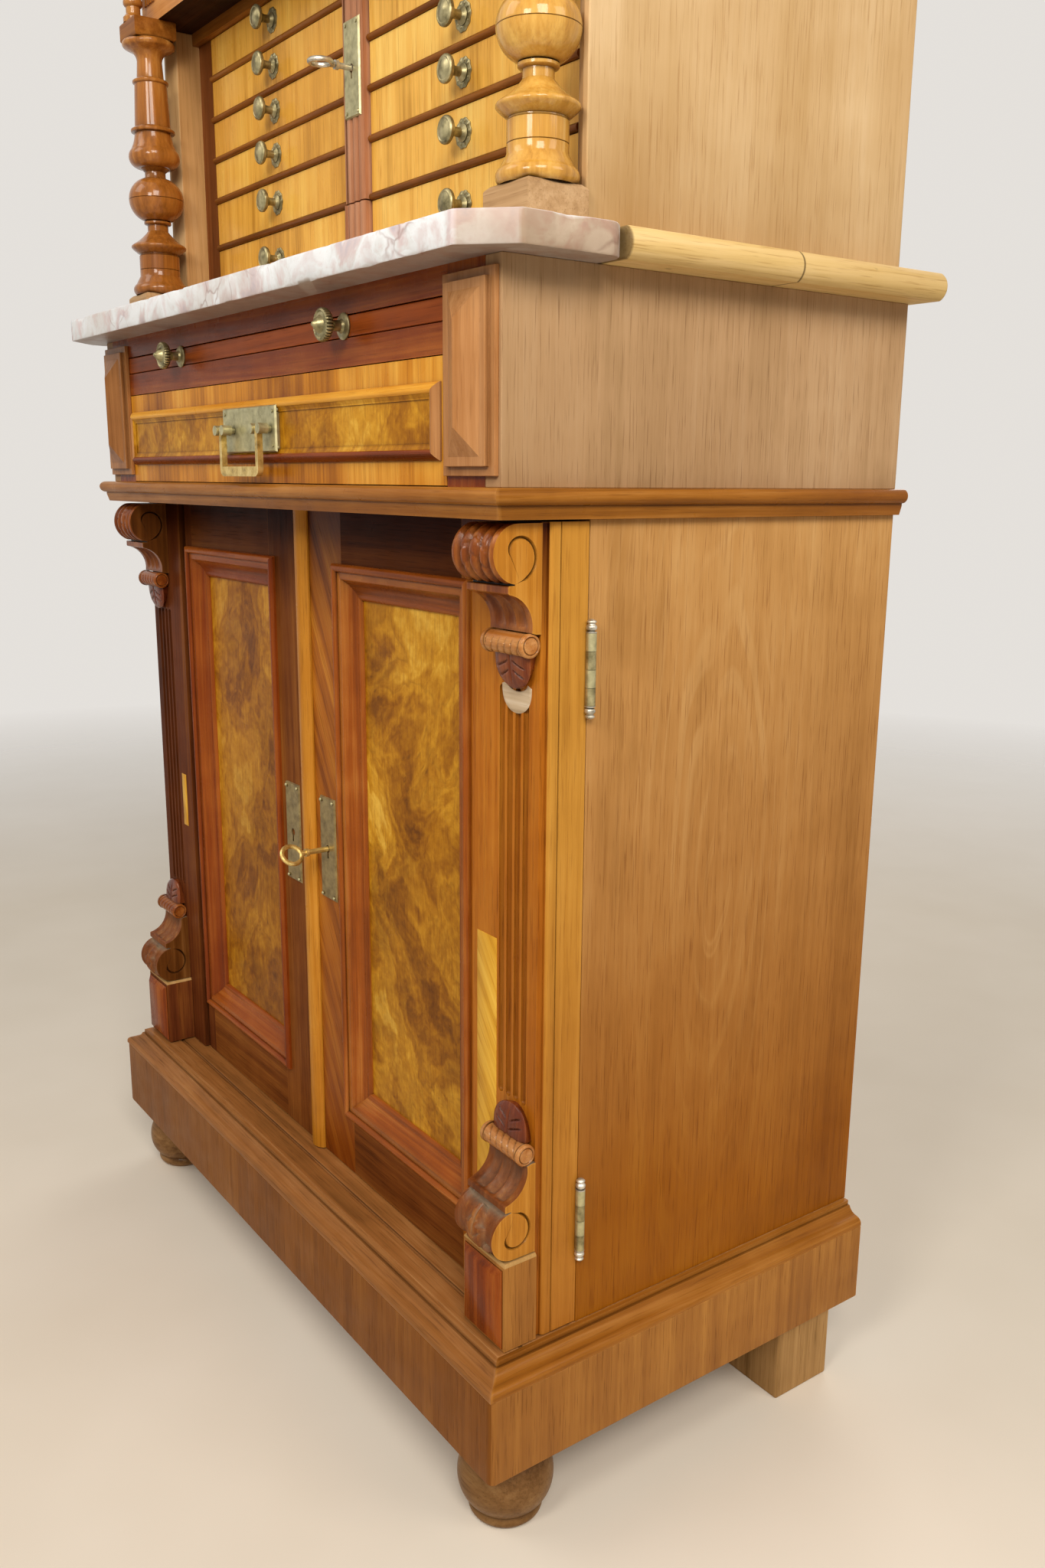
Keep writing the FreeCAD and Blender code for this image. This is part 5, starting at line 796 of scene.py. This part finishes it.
def acanthus(u, t):  # front of the lower scroll: a leaf with pointed lobes on a sunk ground
    look = acanthusSet
    edge = smooth(abs(u), 0.92, 0.8) * smooth(t, 0.02, 0.1) * smooth(t, 1.0, 0.93)
    lobe = (t * look["lobes"]) % 1.0
    half = look["half"] * max(0.0, 1 - t / 0.9) ** 0.55 * (0.5 + 0.5 * lobe ** 1.4)
    leaf = smooth(half - abs(u), -0.02, 0.1)
    vein = max(notch(u, 0, 0.07), notches(t, [start + 0.32 * abs(u) for start in look["veins"]], 0.03))
    return edge * (-look["ground"] + leaf * (look["rise"] + math.cos(u * 3)) - look["vein"] * vein * leaf)


def flutes(u, t):  # hollow under the ledge: three scoops between four ribs
    start, length = fluteSet["tail"]
    cut = max(1 - ((u - centre) / fluteSet["half"]) ** 2 for centre in fluteSet["centres"])
    tail = 1 - max(0.0, (t - start) / length) ** 2
    return -fluteSet["depth"] * math.sqrt(max(0.0, cut)) * math.sqrt(max(0.0, tail)) * smooth(t, 0.0, 0.08)


def corbelLoop():  # side outline as (out, drop, zone, share along the zone)
    def plain(*spots):
        return [(out, drop, "", 0) for out, drop in spots]
    cx, cy, radius = corbel["scroll"]
    first, sweep = corbel["headTurn"]
    count, lip = corbel["headSteps"], corbel["ledge"]
    loop = plain((0.0, 0.4), (7.0, 0.4), (14.0, 0.5))
    for i in range(count + 1):
        angle = math.radians(first + sweep * i / count)
        loop.append((cx + radius * math.cos(angle), cy + radius * math.sin(angle), "head", i / count))
    loop += plain((21.8, 40.2), (lip - 0.6, 40.3), (lip, 40.9), (lip, 45.2), (lip - 0.7, 45.9))
    count = corbel["hollowSteps"]
    loop += [(x, y, "hollow", i / count) for i, (x, y) in enumerate(through(*corbel["hollow"], count))]
    return loop + plain((4.0, 73.0), (0.0, 73.0), (0.0, 50.0), (0.0, 25.0))


def cheek(loop):  # flat side with the spiral cut into it: flat points, depths, triangles
    cx, cy, _ = corbel["scroll"]
    look = corbel["spiral"]
    first, sweep = look["turn"]
    thin, more = look["width"]
    flat = [Vector((out, drop)) for out, drop, zone, share in loop]
    depth = [0.0] * len(flat)
    edges = []
    lines = {-1: [], 0: [], 1: []}
    count = look["steps"]
    for i in range(count + 1):
        turn = first + sweep * i / count
        middle = look["reach"] - look["pitch"] * turn / 180
        width = thin + more * smooth(i, 0, 5) * smooth(i, count, count - 14)
        spin = math.radians(90 + turn)
        for side in lines:
            lines[side].append(len(flat))
            far = middle + side * width
            flat.append(Vector((cx + far * math.cos(spin), cy + far * math.sin(spin))))
            depth.append(0.0 if side else look["depth"] * width / (thin + more))
    for run in lines.values():
        edges += list(zip(run, run[1:]))
    outline = [tuple(range(len(loop)))]
    spots, _, faces, origin, _, _ = delaunay_2d_cdt(flat, edges, outline, 1, 0.0001)
    sunk = [max([depth[i] for i in source], default=0.0) for source in origin]
    return spots, sunk, faces


# places in the list of a corbel's woods
woodPick = {"head": 0, "cheek": 1, "leaf": 2, "field": 3, "acanthus": 4, "dust": 5, "roll": 6, "block": 7}


def carveCorbel(shape, spot, front, pick):  # spot(across, out, drop) places a point
    half, count = corbel["half"], corbel["columns"]
    loop = corbelLoop()
    columns = [-1 + 2 * k / count for k in range(count + 1)]
    rows = []
    for i, (out, drop, zone, share) in enumerate(loop):
        before, after = loop[i - 1], loop[(i + 1) % len(loop)]
        away = Vector((after[1] - before[1], before[0] - after[0])).normalized()
        row = []
        for u in columns:
            rise = front(u, share) if zone == "head" else flutes(u, share) if zone == "hollow" else 0.0
            rise *= smooth(abs(u), 1.0, 0.93)
            row.append(spot(u * half, out + away.x * rise, drop + away.y * rise))
        rows.append(row)
    shape.loft(rows, pick, closed=True)
    flat, sunk, faces = cheek(loop)
    for side in (-1, 1):
        start = len(shape.points)
        shape.points.extend(spot(side * (half - deep), p.x, p.y) for p, deep in zip(flat, sunk))
        for face in faces:
            shape.faces.append(tuple(start + i for i in face))
            shape.picks.append(woodPick["cheek"])
    carveRoll(shape, spot)
    carveLeaf(shape, spot)


def carveRoll(shape, spot):
    out, drop, radius = corbel["roll"]
    half, steps, nick = corbel["half"], corbel["rollSteps"], corbel["nick"]
    ends = [(half, 0.4), (half, radius - 2.9), (half - 0.7, radius - 2.4), (half, radius - 1.7),
            (half - 0.3, radius - 0.6), (half - 1.1, radius), (half - 3.2, radius),
            (half - 3.7, radius - 1.3), (half - 4.3, radius - 1.3)]
    body = [(-a, r) for a, r in ends]
    body += [((-1 + k / 30) * (half - 4.8), radius - 0.5) for k in range(61)]
    body += [(a, r) for a, r in reversed(ends)]
    rings = []
    for along, size in body:
        ring = []
        for k in range(steps):
            angle = 2 * math.pi * k / steps
            groove = 0.0
            if abs(along) < half - 4.9:
                cut = notch((along / nick["pitch"] + angle * 0.5) % 1.0, 0.5, nick["half"])
                groove = -nick["depth"] * cut * smooth(math.cos(angle - 0.5), 0.35, 0.75)
            far = size + groove
            ring.append(spot(along, out + far * math.cos(angle), drop + far * math.sin(angle)))
        rings.append(ring)
    shape.shell(rings, woodPick["roll"], woodPick["cheek"])


def carveLeaf(shape, spot):
    look = corbel["leaf"]
    low, long, steps = look["low"], look["high"] - look["low"], look["steps"]
    rings = []
    for i in range(steps + 1):
        share = i / steps * 0.995
        half = look["half"] * math.sqrt(max(0.0, 1 - max(0.0, (share - 0.22) / 0.78) ** 2.2))
        top = look["rise"] - 2.6 * share - 2.2 * share ** 4
        ring = []
        for k in range(steps + 1):
            u = -1 + k / (steps // 2)
            bow = 0.42 * math.sqrt(abs(u))
            vein = notches(share, (0.02 + bow, 0.3 + bow), 0.045)
            vein *= smooth(abs(u), 0.06, 0.2) * smooth(abs(u), 0.9, 0.6)
            rib = notch(u, 0, 0.07) * smooth(share, 0.95, 0.6)
            rise = top * (1 - 0.32 * abs(u) ** 5) - look["vein"] * vein - look["rib"] * rib
            ring.append(spot(u * half, rise, low + share * long))
        under = half * (0.9 - 0.25 * share)
        ring += [spot(across, -0.1, low + share * long * 0.97) for across in (under, -under)]
        rings.append(ring)
    shape.shell(rings, woodPick["leaf"])


pedestalSet = {
    "half": 27, "deep": 29, "body": ((-72.2, 0.0), (-2.6, 0.0), (-1.2, 0.5), (-0.2, 1.6)),  # drop, inset
    "field": (-24.5, -70.5, 24.5, -5.5), "raise": ((28.6, 0.0), (29.8, 0.0), (33.6, 5.2)),  # out, inset
}


def pedestal(shape, spot):  # block under the lower corbel: dusted top edge, raised field with wide chamfers
    half, deep = pedestalSet["half"], pedestalSet["deep"]
    rings = [squareRing(-half, -inset, half, deep, inset, lambda a, b: spot(a, b, drop))
             for drop, inset in pedestalSet["body"]]
    block, dust = woodPick["block"], woodPick["dust"]
    shape.loft(rings[:2], block, ring=True)
    shape.loft(rings[1:], dust, ring=True)
    shape.cap(rings[0], block)
    shape.cap(rings[-1], dust)
    rings = [squareRing(*pedestalSet["field"], inset, lambda a, b: spot(a, out, b))
             for out, inset in pedestalSet["raise"]]
    shape.shell(rings, woodPick["field"])


def corbelSpot(side, level, way):
    def spot(across, out, drop):
        return (side * (corbel["centre"] + across), -corbel["face"] - out, level - way * drop)
    return spot


corbelWoods = {  # cheek, roll and block by side; the left ones are darker woods, painted shade on the left door's carving
    "left": ("cheekPaintedShade", "carvedWalnut", "doorShade"), "right": ("cheekWalnut", "rollWalnut", "plinthSide"),
}


def carveDoors():
    for side, word in sides:
        shape = Shape()
        carveCorbel(shape, corbelSpot(side, corbel["upper"], 1), reeds, woodPick["head"])
        below = corbelSpot(side, corbel["lower"], -1)
        carveCorbel(shape, below, acanthus, woodPick["acanthus"])
        pedestal(shape, below)
        cheekKind, rollKind, blockKind = corbelWoods[word]
        kinds = ("carvedWalnut", cheekKind, "redGloss", "redWalnut", "dustyWalnut", "dustEdge",
                 rollKind, blockKind)
        along = {woodPick["dust"]: "X", woodPick["roll"]: "X"}
        piece = shape.finish("carving_" + word, [wood(kind, along.get(i, "Z"), 7)
                                                 for i, kind in enumerate(kinds)])
        settle(piece, word + "_door", word + "_corbels")


carveDoors()
print("corbels carved")

# plinth as one veneered box with rounded front corners
plinthSet = {"half": 380.0, "front": -198.0, "back": 206.0, "low": 70.0, "high": 142.0, "board": 40.0,
             "round": 6.0}


def plinthOutline(inset, radius, z):
    right, near, far = plinthSet["half"] - inset, plinthSet["front"] + inset, plinthSet["back"] - inset
    run = [(right, far, z)]
    for k in range(7):
        angle = math.radians(15 * k)
        run.append((right - radius + radius * math.cos(angle), near + radius - radius * math.sin(angle), z))
    return run + [(-x, y, z) for x, y, z in reversed(run)]


def buildPlinth():
    low, high, board, bend = (plinthSet[key] for key in ("low", "high", "board", "round"))
    rows = [plinthOutline(inset, bend - inset, z) for inset, z in (
        (1.6, low), (0.4, low + 0.6), (0, low + 1.8), (0, high - 0.8), (0.7, high))]
    rows += [plinthOutline(board, 0.6, high), plinthOutline(board, 0.6, low)]
    shape = Shape()
    shape.loft(rows, 0, ring=True, closed=True)
    piece = shape.finish("plinth_box", [wood("plinthWalnut", "Z", 1), wood("plinthSide", "Z", 1)])
    for face in piece.data.polygons:
        if abs(face.normal.x) > 0.72:
            face.material_index = 1
    settle(piece, "cabinet", "plinth_frame")


buildPlinth()

# turned columns
column = {
    "x": 328.1, "y": -128.4, "low": 976.0, "high": 1214.0,
    "foot": 27.2, "drum": 20.0, "ball": 27.2, "neck": 10.2,
    "blockLow": 948.5, "blockHalf": 24.25, "blockBack": -105.5, "abacusHigh": 1231.0, "abacusHalf": 21.0,
    "post": (7.7, -11), "postHigh": 1689.0, "steps": 80, "postSteps": 40,
}


def columnProfile():  # radius and height above the base block
    foot, drum, ball, neck = (column[key] for key in ("foot", "drum", "ball", "neck"))

    def swell(size, low, middle, high, count):
        return [(size + r, h) for h, r in through(low, middle, high, count)]
    rings = [(0.5, 0.0)] + swell(foot, (0, -2.5), (5.5, 0), (10, -2.5), 10)
    rings += [(foot - 3.4, 11.2), (drum + 0.6, 17.2), (drum, 18.4), (drum, 24), (drum - 0.5, 24.4),
              (drum, 24.8), (drum, 37.6), (drum - 0.9, 38.6), (drum - 0.9, 39.4), (drum + 1, 40.2),
              (foot - 1.7, 43.7), (foot - 0.6, 44.8), (foot, 45.6), (foot, 46.9), (foot - 0.6, 47.8),
              (foot - 1.7, 48.6)]
    rings += swell(neck, (49.5, 14), (55.5, 6), (62, 0), 10)
    rings += [(neck, 67.6), (neck + 2.6, 68.4), (neck + 3.2, 69.1), (neck + 3.2, 70.8), (neck + 2.6, 71.3)]
    rings += swell(ball, (71.6, -15.1), (91.5, 0), (112.3, -16.4), 34)
    middle = len(rings) - 18  # a line cut round the ball
    wide = rings[middle][0]
    rings[middle:middle + 1] = [(wide, 90.9), (ball - 0.5, 91.3), (wide, 91.7)]
    rings += [(neck + 0.4, 113.2), (neck, 114), (neck, 118)]
    rings += swell(ball, (121.5, -12.8), (131.5, -2), (139, -5.1), 16)
    rings += swell(drum, (139.5, 2), (146, -0.5), (154, -2), 8)
    rings += [(drum + 1.2, 154.7), (drum + 1.6, 155.3), (drum + 1.6, 156.8), (drum + 0.9, 157.6),
              (drum - 2.4, 159.5), (drum - 4.2, 199), (drum - 2.8, 199.7), (drum - 2.4, 200.3),
              (drum - 2.4, 201.8), (drum - 3.2, 202.6), (neck + 3, 204.5), (neck + 2, 220)]
    rings += swell(neck, (221, 2.1), (226, 4), (230, 10), 9)
    rings += swell(foot, (231.5, -4), (234.8, -1.5), (238, -4), 8)
    return rings + [(0.5, 238.0)]


def thinProfile():  # slender post above the abacus
    tall = column["postHigh"] - column["abacusHigh"]
    low = [(0.5, 0), (10, 0), (10, 4.6), (9.2, 5.6), (7, 8), (7, 14), (8.4, 15), (9.4, 16.4), (9.4, 19.6),
           (8.6, 21), (8, 23)]
    waist = [(r, tall / 2 + h) for r, h in ((7, -3), (8.4, -1.6), (9, 0), (8.4, 1.6), (7, 3))]
    return low + waist + [(r, tall - h) for r, h in reversed(low)]


def turnColumns():
    low, high, top = column["low"], column["high"], column["abacusHigh"]
    out, forward = column["post"]
    for side, word in sides:
        shape = Shape()
        x, y = side * column["x"], column["y"]
        shape.turn(columnProfile(), column["steps"], lambda a, b, h: (x + a, y + b, low + h))
        postX, postY = side * (column["x"] + out), y + forward
        shape.turn(thinProfile(), column["postSteps"], lambda a, b, h: (postX + a, postY + b, top + h))
        half, back = column["blockHalf"], column["blockBack"]
        shape.shell([squareRing(x - half, back - 2 * half, x + half, back, inset, lambda a, b: (a, b, z))
                     for z, inset in ((column["blockLow"], 0), (low - 3.4, 0), (low - 2.4, 0.5),
                                      (low, 3.2))], 1)
        half = column["abacusHalf"]
        shape.shell([squareRing(x - half, y - half, x + half, y + half, inset, lambda a, b: (a, b, z))
                     for z, inset in ((high, 1.4), (high + 1.4, 0.2), (high + 2.4, 0), (top - 1.4, 0),
                                      (top, 0.9))], 2)
        # the left column takes the darker copy: painted shade
        piece = shape.finish("column_" + word, [wood("goldTurned" if side > 0 else "goldPaintedShade", "Z", side),
                                                wood("columnBlock", "X", side),
                                                wood("railWalnut", "X", side)])
        settle(piece, "cabinet", "turned_columns")


turnColumns()
print("columns turned")

# marble slab with chipped arrises
slabSet = {"half": 390.0, "front": -214.0, "back": -103.0, "low": 928.5, "high": 948.5, "cut": 30.0,
           "round": 14.0, "chip": 5.0, "step": 3, "sheltered": 0.25, "wave": 0.35, "sharp": 50}


def wander(x, y, scale, level):
    return mathutils.noise.noise(Vector((x * scale, y * scale, level)))


def slabOutline():
    half, front, back, cut, bend = (slabSet[key] for key in ("half", "front", "back", "cut", "round"))
    angles = [a * math.pi / 16 for a in range(9)]
    corner = [(half - bend + bend * math.cos(a), back - bend + bend * math.sin(a)) for a in angles]
    stops = [(cut - half, front), (half - cut, front), (half, front + cut)] + corner
    stops += [(-x, y) for x, y in reversed(corner)] + [(-half, front + cut)]
    outline = []
    for (ax, ay), (bx, by) in zip(stops, stops[1:] + stops[:1]):
        count = max(1, int(math.hypot(bx - ax, by - ay) / slabSet["step"]))
        outline += [(ax + (bx - ax) * k / count, ay + (by - ay) * k / count) for k in range(count)]
    return outline


def chipAt(x, y, z):
    coarse = wander(x, y, 0.035, z)
    fine = wander(x, y, 0.16, z + 9)
    return min(1.0, max(0.0, coarse - 0.22) * (1.2 + fine) * 1.3 + max(0.0, fine - 0.3) * 0.35)


def buildSlab():
    low, high, deep, back = (slabSet[key] for key in ("low", "high", "chip", "back"))
    rows = [[], [], [], [], []]
    for x, y in slabOutline():
        exposed = slabSet["sheltered"] if y > back - 1 else 1.0  # the edge against the wooden top is whole
        top = chipAt(x, y, 3.0) * exposed
        under = chipAt(x, y, 40.0) * exposed
        inward = Vector((0, (slabSet["front"] + back) / 2)) - Vector((x, y))
        inward = Vector((inward.x * 0.12, inward.y)).normalized()
        wave = slabSet["wave"] * wander(x, y, 0.05, 70)
        levels = ((0.7 + under * 3, low), (0.2 + wave, low + 0.8 + under * 3),
                  (0.2 + wave, high - 1.8 - top * deep * 0.7),
                  (0.5 + top * deep * 0.5, high - 0.6 - top * 1.2), (1.3 + top * deep, high))
        for row, (inset, z) in zip(rows, levels):
            inset = max(0.0, inset)
            row.append((x + inward.x * inset, y + inward.y * inset, z))
    shape = Shape()
    shape.shell(rows)
    settle(shape.finish("slab_chipped", [marble()], slabSet["sharp"]), "cabinet", "marble_slab")


# old repairs: let-in veneer on the stiles, a scoop under the right upper corbel
repairs = {
    "veneer_right": dict(body="right_door", low=(282.0, 232.0), high=(307.6, 465.5)),
    "veneer_left": dict(body="left_door", low=(-302.0, 418.0), high=(-290.5, 476.0)),
}
repairSet = {"steps": 24, "wave": 0.35, "raise": ((-0.2, 0.0), (0.25, 0.0), (0.4, 0.25))}  # out, inset
scoopSet = {"outer": (330.5, 655.5, 17.5, 19.0), "inner": (331.0, 657.5, 12.0, 5.5), "steps": 32, "sharp": 60,
            "bowl": ((0.0, 0.02), (0.12, 0.55), (0.3, 0.75), (0.62, 0.25), (1.0, 0.15)), "sunk": 0.2}


def addRepairs():
    count, face = repairSet["steps"], -corbel["face"]
    for name, look in repairs.items():
        (x0, z0), (x1, z1) = look["low"], look["high"]
        wave = [repairSet["wave"] * mathutils.noise.noise(Vector((k * 0.8, x0, 1))) for k in range(count + 1)]
        edge = [(x0 + wave[k], z0 + (z1 - z0) * k / count) for k in range(count + 1)]
        outline = edge + [(x1, z) for x, z in reversed(edge)]
        shape = Shape()
        shape.shell([[(x + inset * (1 if x < (x0 + x1) / 2 else -1), face - out,
                       min(max(z, z0 + inset), z1 - inset)) for x, z in outline]
                     for out, inset in repairSet["raise"]])
        settle(shape.finish(name, [wood("patchVeneer", "Z", 5)]), look["body"])
    addScoop(face)


def addScoop(face):
    outerX, outerZ, outerWide, outerHigh = scoopSet["outer"]
    innerX, innerZ, innerWide, innerHigh = scoopSet["inner"]
    rings = []
    for share, out in scoopSet["bowl"]:
        ring = []
        for k in range(scoopSet["steps"] + 1):
            angle = math.pi * k / scoopSet["steps"]
            x, z = outerX - outerWide * math.cos(angle), outerZ - outerHigh * math.sin(angle) ** 0.8
            x += (innerX - innerWide * math.cos(angle) - x) * share
            z += (innerZ - innerHigh * math.sin(angle) - z) * share
            ring.append((x, face - out, z))
        rings.append(ring)
    rings += [[(x, face + scoopSet["sunk"], z) for x, y, z in ring] for ring in (rings[-1], rings[0])]
    shape = Shape()
    shape.loft(rings, 0, closed=True)
    shape.cap([ring[0] for ring in rings])
    shape.cap([ring[-1] for ring in rings])
    settle(shape.finish("scoop_right", [wood("scoopWood", "X", 5)], scoopSet["sharp"]),
           "right_door")


buildSlab()
addRepairs()
print("slab and repairs made")

# brass fittings
fitting = {
    "drawerFace": -74.0, "drawerX": 160.1, "slideFace": -178.0, "slideX": 158.0, "slideZ": 902.0,
    "hingeX": 363.9, "hingeY": -105.6, "hingeHalf": 25.0, "hingeLevels": (250.5, 668.0),
    "buttonSteps": 36, "slideSteps": 120, "finialSteps": 28, "pinSteps": 20,
    "mill": dict(depth=0.9, every=4, low=14.5, high=20),
}
rowLevels = [(972, 1021), (1028, 1066), (1073, 1104), (1111, 1142), (1149, 1180), (1187, 1219)]
rosetteSet = {"size": 10.6, "dots": 10, "steps": 96, "rings": 12, "rise": 1.0, "dotRise": 0.8, "dotAt": 0.78,
              "dotWidth": 0.1, "scallop": 0.035}
buttonProfile = [(0.3, 0.2), (6.4, 0.2), (6.4, 1.6), (5.0, 2.6), (3.6, 4.0), (3.3, 8.0), (3.9, 11.0),
                 (6.2, 13.0), (9.0, 13.9), (9.9, 14.7), (10.2, 15.9), (10.0, 17.2), (9.2, 18.1),
                 (8.2, 18.5), (7.4, 18.2), (6.6, 18.4), (4.4, 19.3), (2.2, 19.8), (0.3, 19.9)]
slideProfile = [(0.3, 0), (7.0, 0), (9.6, 0.3), (9.6, 1.2), (8.6, 2.0), (5.2, 2.6), (4.0, 4.2), (3.8, 9.5),
                (5.4, 12.2), (10.2, 14.0), (11.0, 15.0), (11.8, 16.2), (11.8, 18.8), (11.2, 19.8),
                (9.8, 20.2), (9.2, 19.6), (6.6, 20.2), (5.6, 21.4), (4.4, 23.2), (2.4, 24.8),
                (1.8, 25.8), (1.1, 26.5), (0.3, 26.7)]


def rosette(shape, x, face, z):  # stamped disc behind a knob, a ring of dots round it
    look = rosetteSet
    top, steps = look["rise"], look["steps"]
    rows = [(0.3, 0.0), (1.0, 0.0), (1.0, 0.5)]
    rows += [(1.0 - 0.7 * k / look["rings"], top) for k in range(look["rings"] + 1)]
    rings = []
    for radius, rise in rows:
        ring = []
        for k in range(steps):
            angle = 2 * math.pi * k / steps
            wave = math.cos(angle * look["dots"])
            bump = 0.0
            if rise == top:
                dot = math.exp(-((radius - look["dotAt"]) / look["dotWidth"]) ** 2)
                bump = look["dotRise"] * dot * max(0.0, wave) - 0.3 * (radius > 0.95)
            far = radius * look["size"] * (1 + look["scallop"] * wave * (radius > 0.9))
            ring.append((x + far * math.cos(angle), face - max(0.0, rise + bump), z + far * math.sin(angle)))
        rings.append(ring)
    shape.shell(rings)


def drawerBox(node, face):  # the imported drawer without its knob
    mesh = nodes[node].data.copy()
    box = bmesh.new()
    box.from_mesh(mesh)
    bmesh.ops.remove_doubles(box, verts=box.verts, dist=meshSet["merge"])
    knob = [part for part in box.faces if part.calc_center_median().y < face / 1000 - 0.0001]
    bmesh.ops.delete(box, geom=knob, context="FACES")
    bmesh.ops.holes_fill(box, edges=[edge for edge in box.edges if edge.is_boundary], sides=0)
    box.to_mesh(mesh)
    box.free()
    mesh.name = node + "_box"
    return addObject(node + "_box", mesh)


def addDrawers():  # packed drawer boxes with a flat turned button and its rosette
    face = fitting["drawerFace"]
    for side, word in sides:
        for row, (low, high) in enumerate(rowLevels, 1):
            node = "drawer_%s_%d" % (word, row)
            settle(drawerBox(node, face), node, node)
            x, z = side * fitting["drawerX"], (low + high) / 2
            shape = Shape()
            rosette(shape, x, face, z)
            shape.turn(buttonProfile, fitting["buttonSteps"], lambda a, b, h: (x + a, face - h, z + b))
            settle(shape.finish("knob_%s_%d" % (word, row), [metal("oldBrass")], 30), node)


def millCut(k, along):
    mill = fitting["mill"]
    return -mill["depth"] * (k % mill["every"] == 0) if mill["low"] < along < mill["high"] else 0.0


def turnSlideKnobs():  # coned face, milled rim, ringed foot
    shape = Shape()
    for side in (-1, 1):
        shape.turn(slideProfile, fitting["slideSteps"], lambda a, b, h: (
            side * fitting["slideX"] + a, fitting["slideFace"] - h, fitting["slideZ"] + b), cut=millCut)
    settle(shape.finish("slide_knob_pair", [metal("oldBrass")], 32), "slide", "slide_knobs")


def addFinials():  # turned ends of the door hinges: neck, ball, neck, bead
    shape = Shape()
    angles = [a * math.pi / 12 for a in range(3, 10)]
    profile = [(1.9, 0.1), (3.75, 0.1), (3.75, 0.7), (2.2, 1.0), (2.2, 1.5)]
    profile += [(0.6 + 3.2 * math.sin(a) ** 0.7, 3.6 - 2.4 * math.cos(a)) for a in angles]
    profile += [(2.5, 5.9), (2.5, 6.4), (3.3, 7.0), (3.4, 7.7), (2.6, 8.6), (1.2, 9.3), (0.1, 9.5)]
    for side in (-1, 1):
        for level in fitting["hingeLevels"]:
            for way in (-1, 1):
                shape.turn(profile, fitting["finialSteps"], lambda a, b, h: (
                    side * fitting["hingeX"] + a, fitting["hingeY"] + b,
                    level + way * (fitting["hingeHalf"] + h)))
    settle(shape.finish("hinge_finials", [metal("finialNickel")], 50), "cabinet")


pinGroups = {  # body, face, places across, levels, size
    "pins_right_plate": ("right_door", -140.8, (24.2, 45.8), (424.5, 512.5), 1.5),
    "pins_left_plate": ("left_door", -140.8, (-24.2, -45.8), (424.5, 512.5), 1.5),
    "pins_pull_plate": ("wide_drawer", -182.1, (-48.5, 48.5), (817.6, 847.4), 1.6),
    "pins_bar_plate": ("bar", -82.5, (-7.2, 13.2), (1091, 1160), 1.4),
}


def addPins():  # round-headed pins that hold the plates
    for name, (body, face, across, levels, size) in pinGroups.items():
        shape = Shape()
        high = size * 0.7
        angles = [a * math.pi / 12 for a in range(6)]
        dome = [(size * math.cos(a), high * math.sin(a)) for a in angles]
        for x in across:
            for z in levels:
                shape.turn([(size, -0.6)] + dome + [(0.1, high)], fitting["pinSteps"],
                           lambda a, b, h: (x + a, face - h, z + b))
        settle(shape.finish(name, [metal("plateBrass")]), body)


addDrawers()
turnSlideKnobs()
addFinials()
addPins()
print("fittings made")

stageSet = {"floor": "e9e2d6", "shade": "e2dacc", "rough": 0.7,
            "size": 6.0, "near": 1.4, "far": 3.6,  # metres
            "seen": 0.78, "ambient": 0.17, "sky": (1.0, 0.96, 0.91, 1)}


def buildFloor():
    size = stageSet["size"]
    mesh = bpy.data.meshes.new("floor")
    mesh.from_pydata([(-size, -size, 0), (size, -size, 0), (size, size, 0), (-size, size, 0)], [],
                     [(0, 1, 2, 3)])
    floor = addObject("floor", mesh)
    finish = Finish("floor")
    tree, shader = finish.tree, finish.shader
    mottle = finish.place().scatter(0.0).noise(3, 3)
    colour = mottle.ramp(((0.3, stageSet["shade"]), (0.7, stageSet["floor"])))
    wire(tree, shader, {"Base Color": colour, "Roughness": stageSet["rough"]})
    fade = finish.place().reach().remap(stageSet["near"], stageSet["far"])
    clear = addNode(tree, "BsdfTransparent")[0]  # the far floor runs into the backdrop
    joined = addNode(tree, "MixShader", {0: fade, 1: Output(tree, shader.outputs[0]), 2: clear})[0]
    wire(tree, tree.nodes["Material Output"], {0: joined})
    mesh.materials.append(finish.material)


def buildSky():  # brighter to look at than it lights
    world = bpy.data.worlds.new("studio")
    scene.world = world
    world.use_nodes = True
    tree = world.node_tree
    path = addNode(tree, "LightPath")
    seen = path["Is Camera Ray"]
    for ray in ("Is Glossy Ray", "Is Transmission Ray"):
        seen = seen.calc("MAXIMUM", path[ray])
    strength = seen.remap(0.0, 1.0, stageSet["ambient"], stageSet["seen"])
    wire(tree, tree.nodes["Background"], {0: stageSet["sky"], 1: strength})


lamps = {
    "key": dict(place=(2.6, -1.25, 2.7), aim=(0.2, -0.05, 0.85), size=1.3, power=76, colour="fff6ea"),
    "fill": dict(place=(-1.1, -2.3, 3.0), aim=(0, 0, 0.7), size=1.6, power=26, colour="fff6ec"),
    "side": dict(place=(2.9, 1.0, 2.4), aim=(0.36, 0.05, 1.0), size=1.4, power=26, colour="fff4e6"),
    "front": dict(place=(0.9, -1.5, 1.6), aim=(0, -0.1, 1.12), size=0.5, power=14, colour="fff6ea"),
    "back": dict(place=(-1.6, 2.4, 2.3), aim=(0, 0, 0.9), size=1.8, power=24, colour="fff8f0"),
}


def placeLamps():
    for name, look in lamps.items():
        data = bpy.data.lights.new(name, "AREA")
        data.size = look["size"]
        data.energy = look["power"]
        data.color = tint(look["colour"])[:3]
        lamp = addObject(name, data)
        lamp.location = look["place"]
        aim = Vector(look["aim"]) - Vector(look["place"])
        lamp.rotation_euler = aim.to_track_quat("-Z", "Y").to_euler()


buildFloor()
buildSky()
placeLamps()
print("stage and lamps placed")
